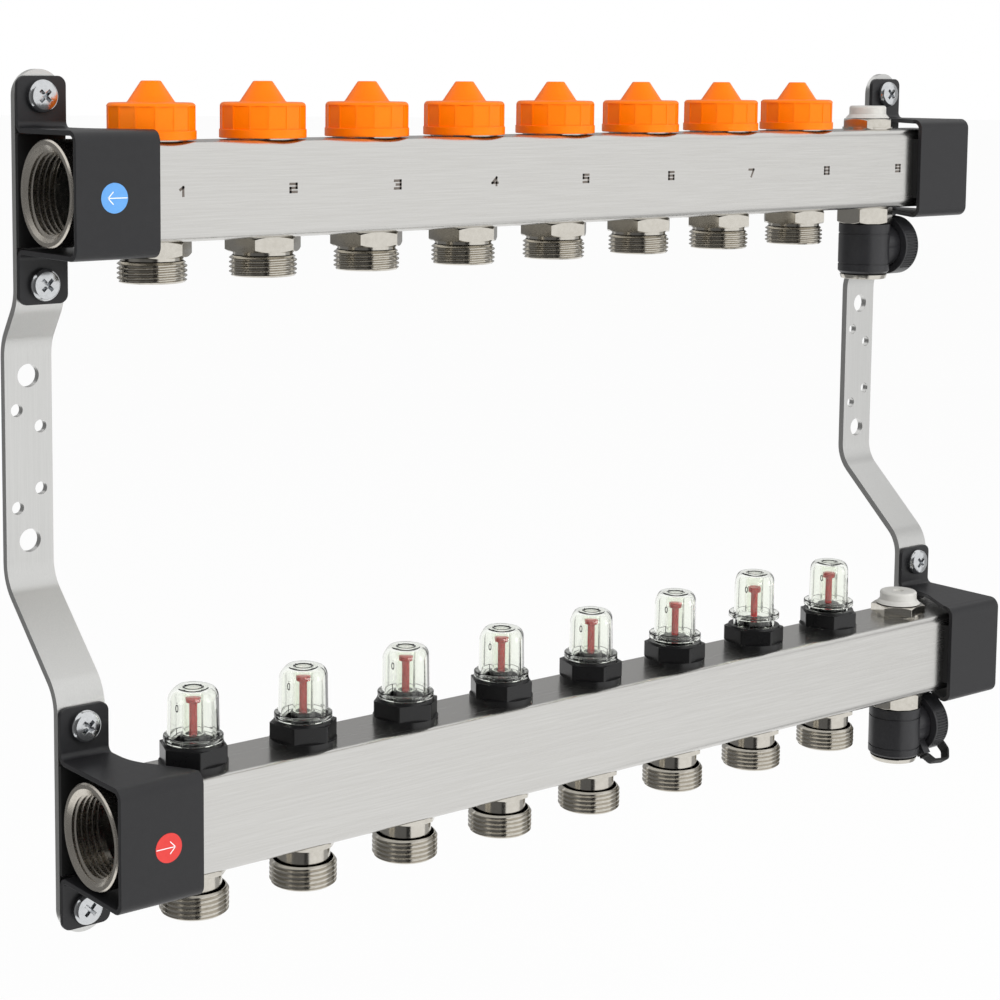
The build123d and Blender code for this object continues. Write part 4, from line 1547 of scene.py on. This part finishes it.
@dataclass
class HoseCaps:
    """Ribbed caps on the side outlets of the drain cocks.

    Attributes:
        radius: Outer radius.
        thick: Length along the outlet.
        bore_r: Inner radius.
        roof: Thickness of the outer end.
        ribs: Ribs that would go round the whole rim.
        groove: Depth of the grooves between them.
        button: Radius and height of the button for the strap.
    """

    radius: float = 14.1
    thick: float = 9.1
    bore_r: float = 10.75
    roof: float = 2.1
    ribs: int = 62
    groove: float = 0.55
    button: tuple[float, float] = (3.2, 2.2)

    def model(self) -> bpy.types.Object:
        """Make one cap about the Z axis, with its open side down."""
        Bench.clear()
        bpy.ops.mesh.primitive_cylinder_add(
            vertices=self.ribs * 4, radius=self.radius * MM, depth=self.thick * MM,
            location=(0, 0, self.thick / 2 * MM),
        )
        cap = bpy.context.object
        bpy.ops.object.transform_apply(location=True)
        low, high = 1.2 * MM, (self.thick - 0.9) * MM
        for height in (low, high):
            Bench.hold(cap)
            bpy.ops.object.mode_set(mode="EDIT")
            bpy.ops.mesh.select_all(action="SELECT")
            bpy.ops.mesh.bisect(plane_co=(0, 0, height), plane_no=(0, 0, 1))
            bpy.ops.object.mode_set(mode="OBJECT")

        def in_groove(face: bpy.types.MeshPolygon) -> bool:
            """Say whether a face of the rim lies in a groove."""
            centre = face.center
            if not low < centre.z < high or abs(face.normal.z) > 0.5:
                return False
            turn = math.degrees(math.atan2(centre.y, centre.x)) % 120
            step = (math.degrees(math.atan2(centre.y, centre.x)) % 360) / (360 / self.ribs)
            return turn < 78 and 0.25 < step % 1 < 0.75

        Bench.pick(cap, "FACE", in_groove)
        bpy.ops.mesh.extrude_region_shrink_fatten(
            TRANSFORM_OT_shrink_fatten={"value": -self.groove * MM, "use_even_offset": False}
        )
        Bench.tidy()
        bore = Bench.turn(
            "bore",
            [(0, -1), (self.bore_r, -1), (self.bore_r, self.thick - self.roof),
             (0, self.thick - self.roof), (0, -1)],
            72,
        )
        Bench.merge(cap, bore, "DIFFERENCE")
        Bench.soften(cap, 0.16, 1, 40)
        r, h = self.button
        button = Bench.turn(
            "button",
            [(0, self.thick - 0.4), (r - 0.5, self.thick - 0.4), (r - 0.5, self.thick + 1.3),
             (r, self.thick + 1.5), (r - 0.2, self.thick + h), (0, self.thick + h),
             (0, self.thick - 0.4)],
            40,
        )
        return Bench.join("hose_cap", [cap, button])

    def build(self) -> None:
        """Put a cap on both drain cocks."""
        cap = self.model()
        aside = Matrix.Rotation(math.radians(90), 4, "Y")
        for level in ("upper", "lower"):
            node = f"{level}_hose_cap"
            low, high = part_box(node)
            spot = (low[0], (low[1] + high[1]) / 2, (low[2] + high[2]) / 2)
            twin = Bench.copy_at(cap, Matrix.Translation(spot) @ aside)
            twin.name = f"{level}_hose_cap_ribbed"
            Bench.finish(twin, DRAIN_BLACK, f"{level}_cap", "drain_black", [node], 30)
        bpy.data.objects.remove(cap, do_unlink=True)


@dataclass
class EdgedParts:
    """Plain solids that keep their CAD shape and get their small edge radii.

    Attributes:
        rows: Node, width of the rounding in millimetres, finish, body and material slot.
    """

    rows: tuple = (
        ("upper_left_clamp", 0.45, CLAMP_BLACK, "manifold", "clamp_black"),
        ("upper_right_clamp", 0.45, CLAMP_BLACK, "manifold", "clamp_black"),
        ("lower_left_clamp", 0.45, CLAMP_BLACK, "manifold", "clamp_black"),
        ("lower_right_clamp", 0.45, CLAMP_BLACK, "manifold", "clamp_black"),
        ("left_wall_bar", 0.35, BAR_ZINC, "manifold", "bar_zinc"),
        ("right_wall_bar", 0.35, BAR_ZINC, "manifold", "bar_zinc"),
        ("meter_nuts", 0.3, NUT_BLACK, "manifold", "nut_black"),
        ("vent_bodies", 0.25, NICKEL, "manifold", "vent_nickel"),
        ("drain_adaptors", 0.25, NICKEL, "manifold", "adaptor_nickel"),
        ("valve_inserts", 0.2, NICKEL, "manifold", "insert_brass"),
        ("upper_drain_body", 0.25, DRAIN_BLACK, "upper_drain", "drain_black"),
        ("lower_drain_body", 0.25, DRAIN_BLACK, "lower_drain", "drain_black"),
        ("upper_drain_strap", 0.25, RUBBER, "upper_drain", "strap_black"),
        ("lower_drain_strap", 0.25, RUBBER, "lower_drain", "strap_black"),
        ("upper_vent_knob", 0.3, KNOB_WHITE, "upper_vent", "knob_white"),
        ("lower_vent_knob", 0.3, KNOB_WHITE, "lower_vent", "knob_white"),
    )

    def build(self, frame: dict) -> None:
        """Round the edges of a copy of each node.
        """
        for node, width, finish, body, slot in self.rows:
            piece = Bench.from_node(f"{node}_edged", frame["nodes"][node])
            Bench.soften(piece, width, 2, 38)
            Bench.finish(piece, finish, body, slot, [node], 34)


NODE_FINISHES: dict[str, Finish] = {
    "upper_beam": BEAM_STEEL,
    "lower_beam": BEAM_STEEL,
    "end_sleeves": SLEEVE_STEEL,
    "wall_bar": BAR_ZINC,
    "clamp_screws": SCREW_ZINC,
    "clamp": CLAMP_BLACK,
    "rubber_pads": RUBBER,
    "outlets": NICKEL,
    "valve_inserts": NICKEL,
    "valve_spindle": SPINDLE_STEEL,
    "hand_cap": CAP_ORANGE,
    "meter_nuts": NUT_BLACK,
    "meter_dome": DOME_CLEAR,
    "flow_indicator": FLAG_RED,
    "vent_bodies": NICKEL,
    "vent_knob": KNOB_WHITE,
    "drain_adaptors": NICKEL,
    "drain_body": DRAIN_BLACK,
    "hose_cap": DRAIN_BLACK,
    "drain_strap": RUBBER,
}


def dress_frame(frame: dict) -> None:
    """Give every carried-over CAD node the finish of the real part.
    """
    for name, node in frame["nodes"].items():
        finish = next(f for key, f in NODE_FINISHES.items() if key in name)
        node.data.materials.clear()
        node.data.materials.append(finish.material())
    LOG.info("dressed %d nodes", len(frame["nodes"]))


def main() -> None:
    """Build the scene's pieces in order."""
    logging.basicConfig(level=logging.INFO, format="%(name)s: %(message)s")
    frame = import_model()
    Camera().build()
    Studio().build()
    dress_frame(frame)
    Outlets("return_outlets", "outlet_steel", "upper_beam", 27.0, 6.0, 11.7, 1.6, 8.0).build()
    Outlets(
        "supply_outlets", "supply_outlet_nickel", "lower_beam", 24.0, 3.0, 10.6, 5.8, 9.6
    ).build()
    EndSleeves().build()
    ClampScrews().build()
    HandCaps().build()
    FlowMeters().build()
    HoseCaps().build()
    PortNumbers().build()
    FlowLabel("upper_left_clamp", "return", LABEL_BLUE, "clamp_black", -230.6, -0.9, -1).build()
    FlowLabel("lower_left_clamp", "supply", LABEL_RED, "clamp_black", -226.4, -1.6, 1).build()
    EdgedParts().build(frame)


if __name__ == "__main__":
    main()
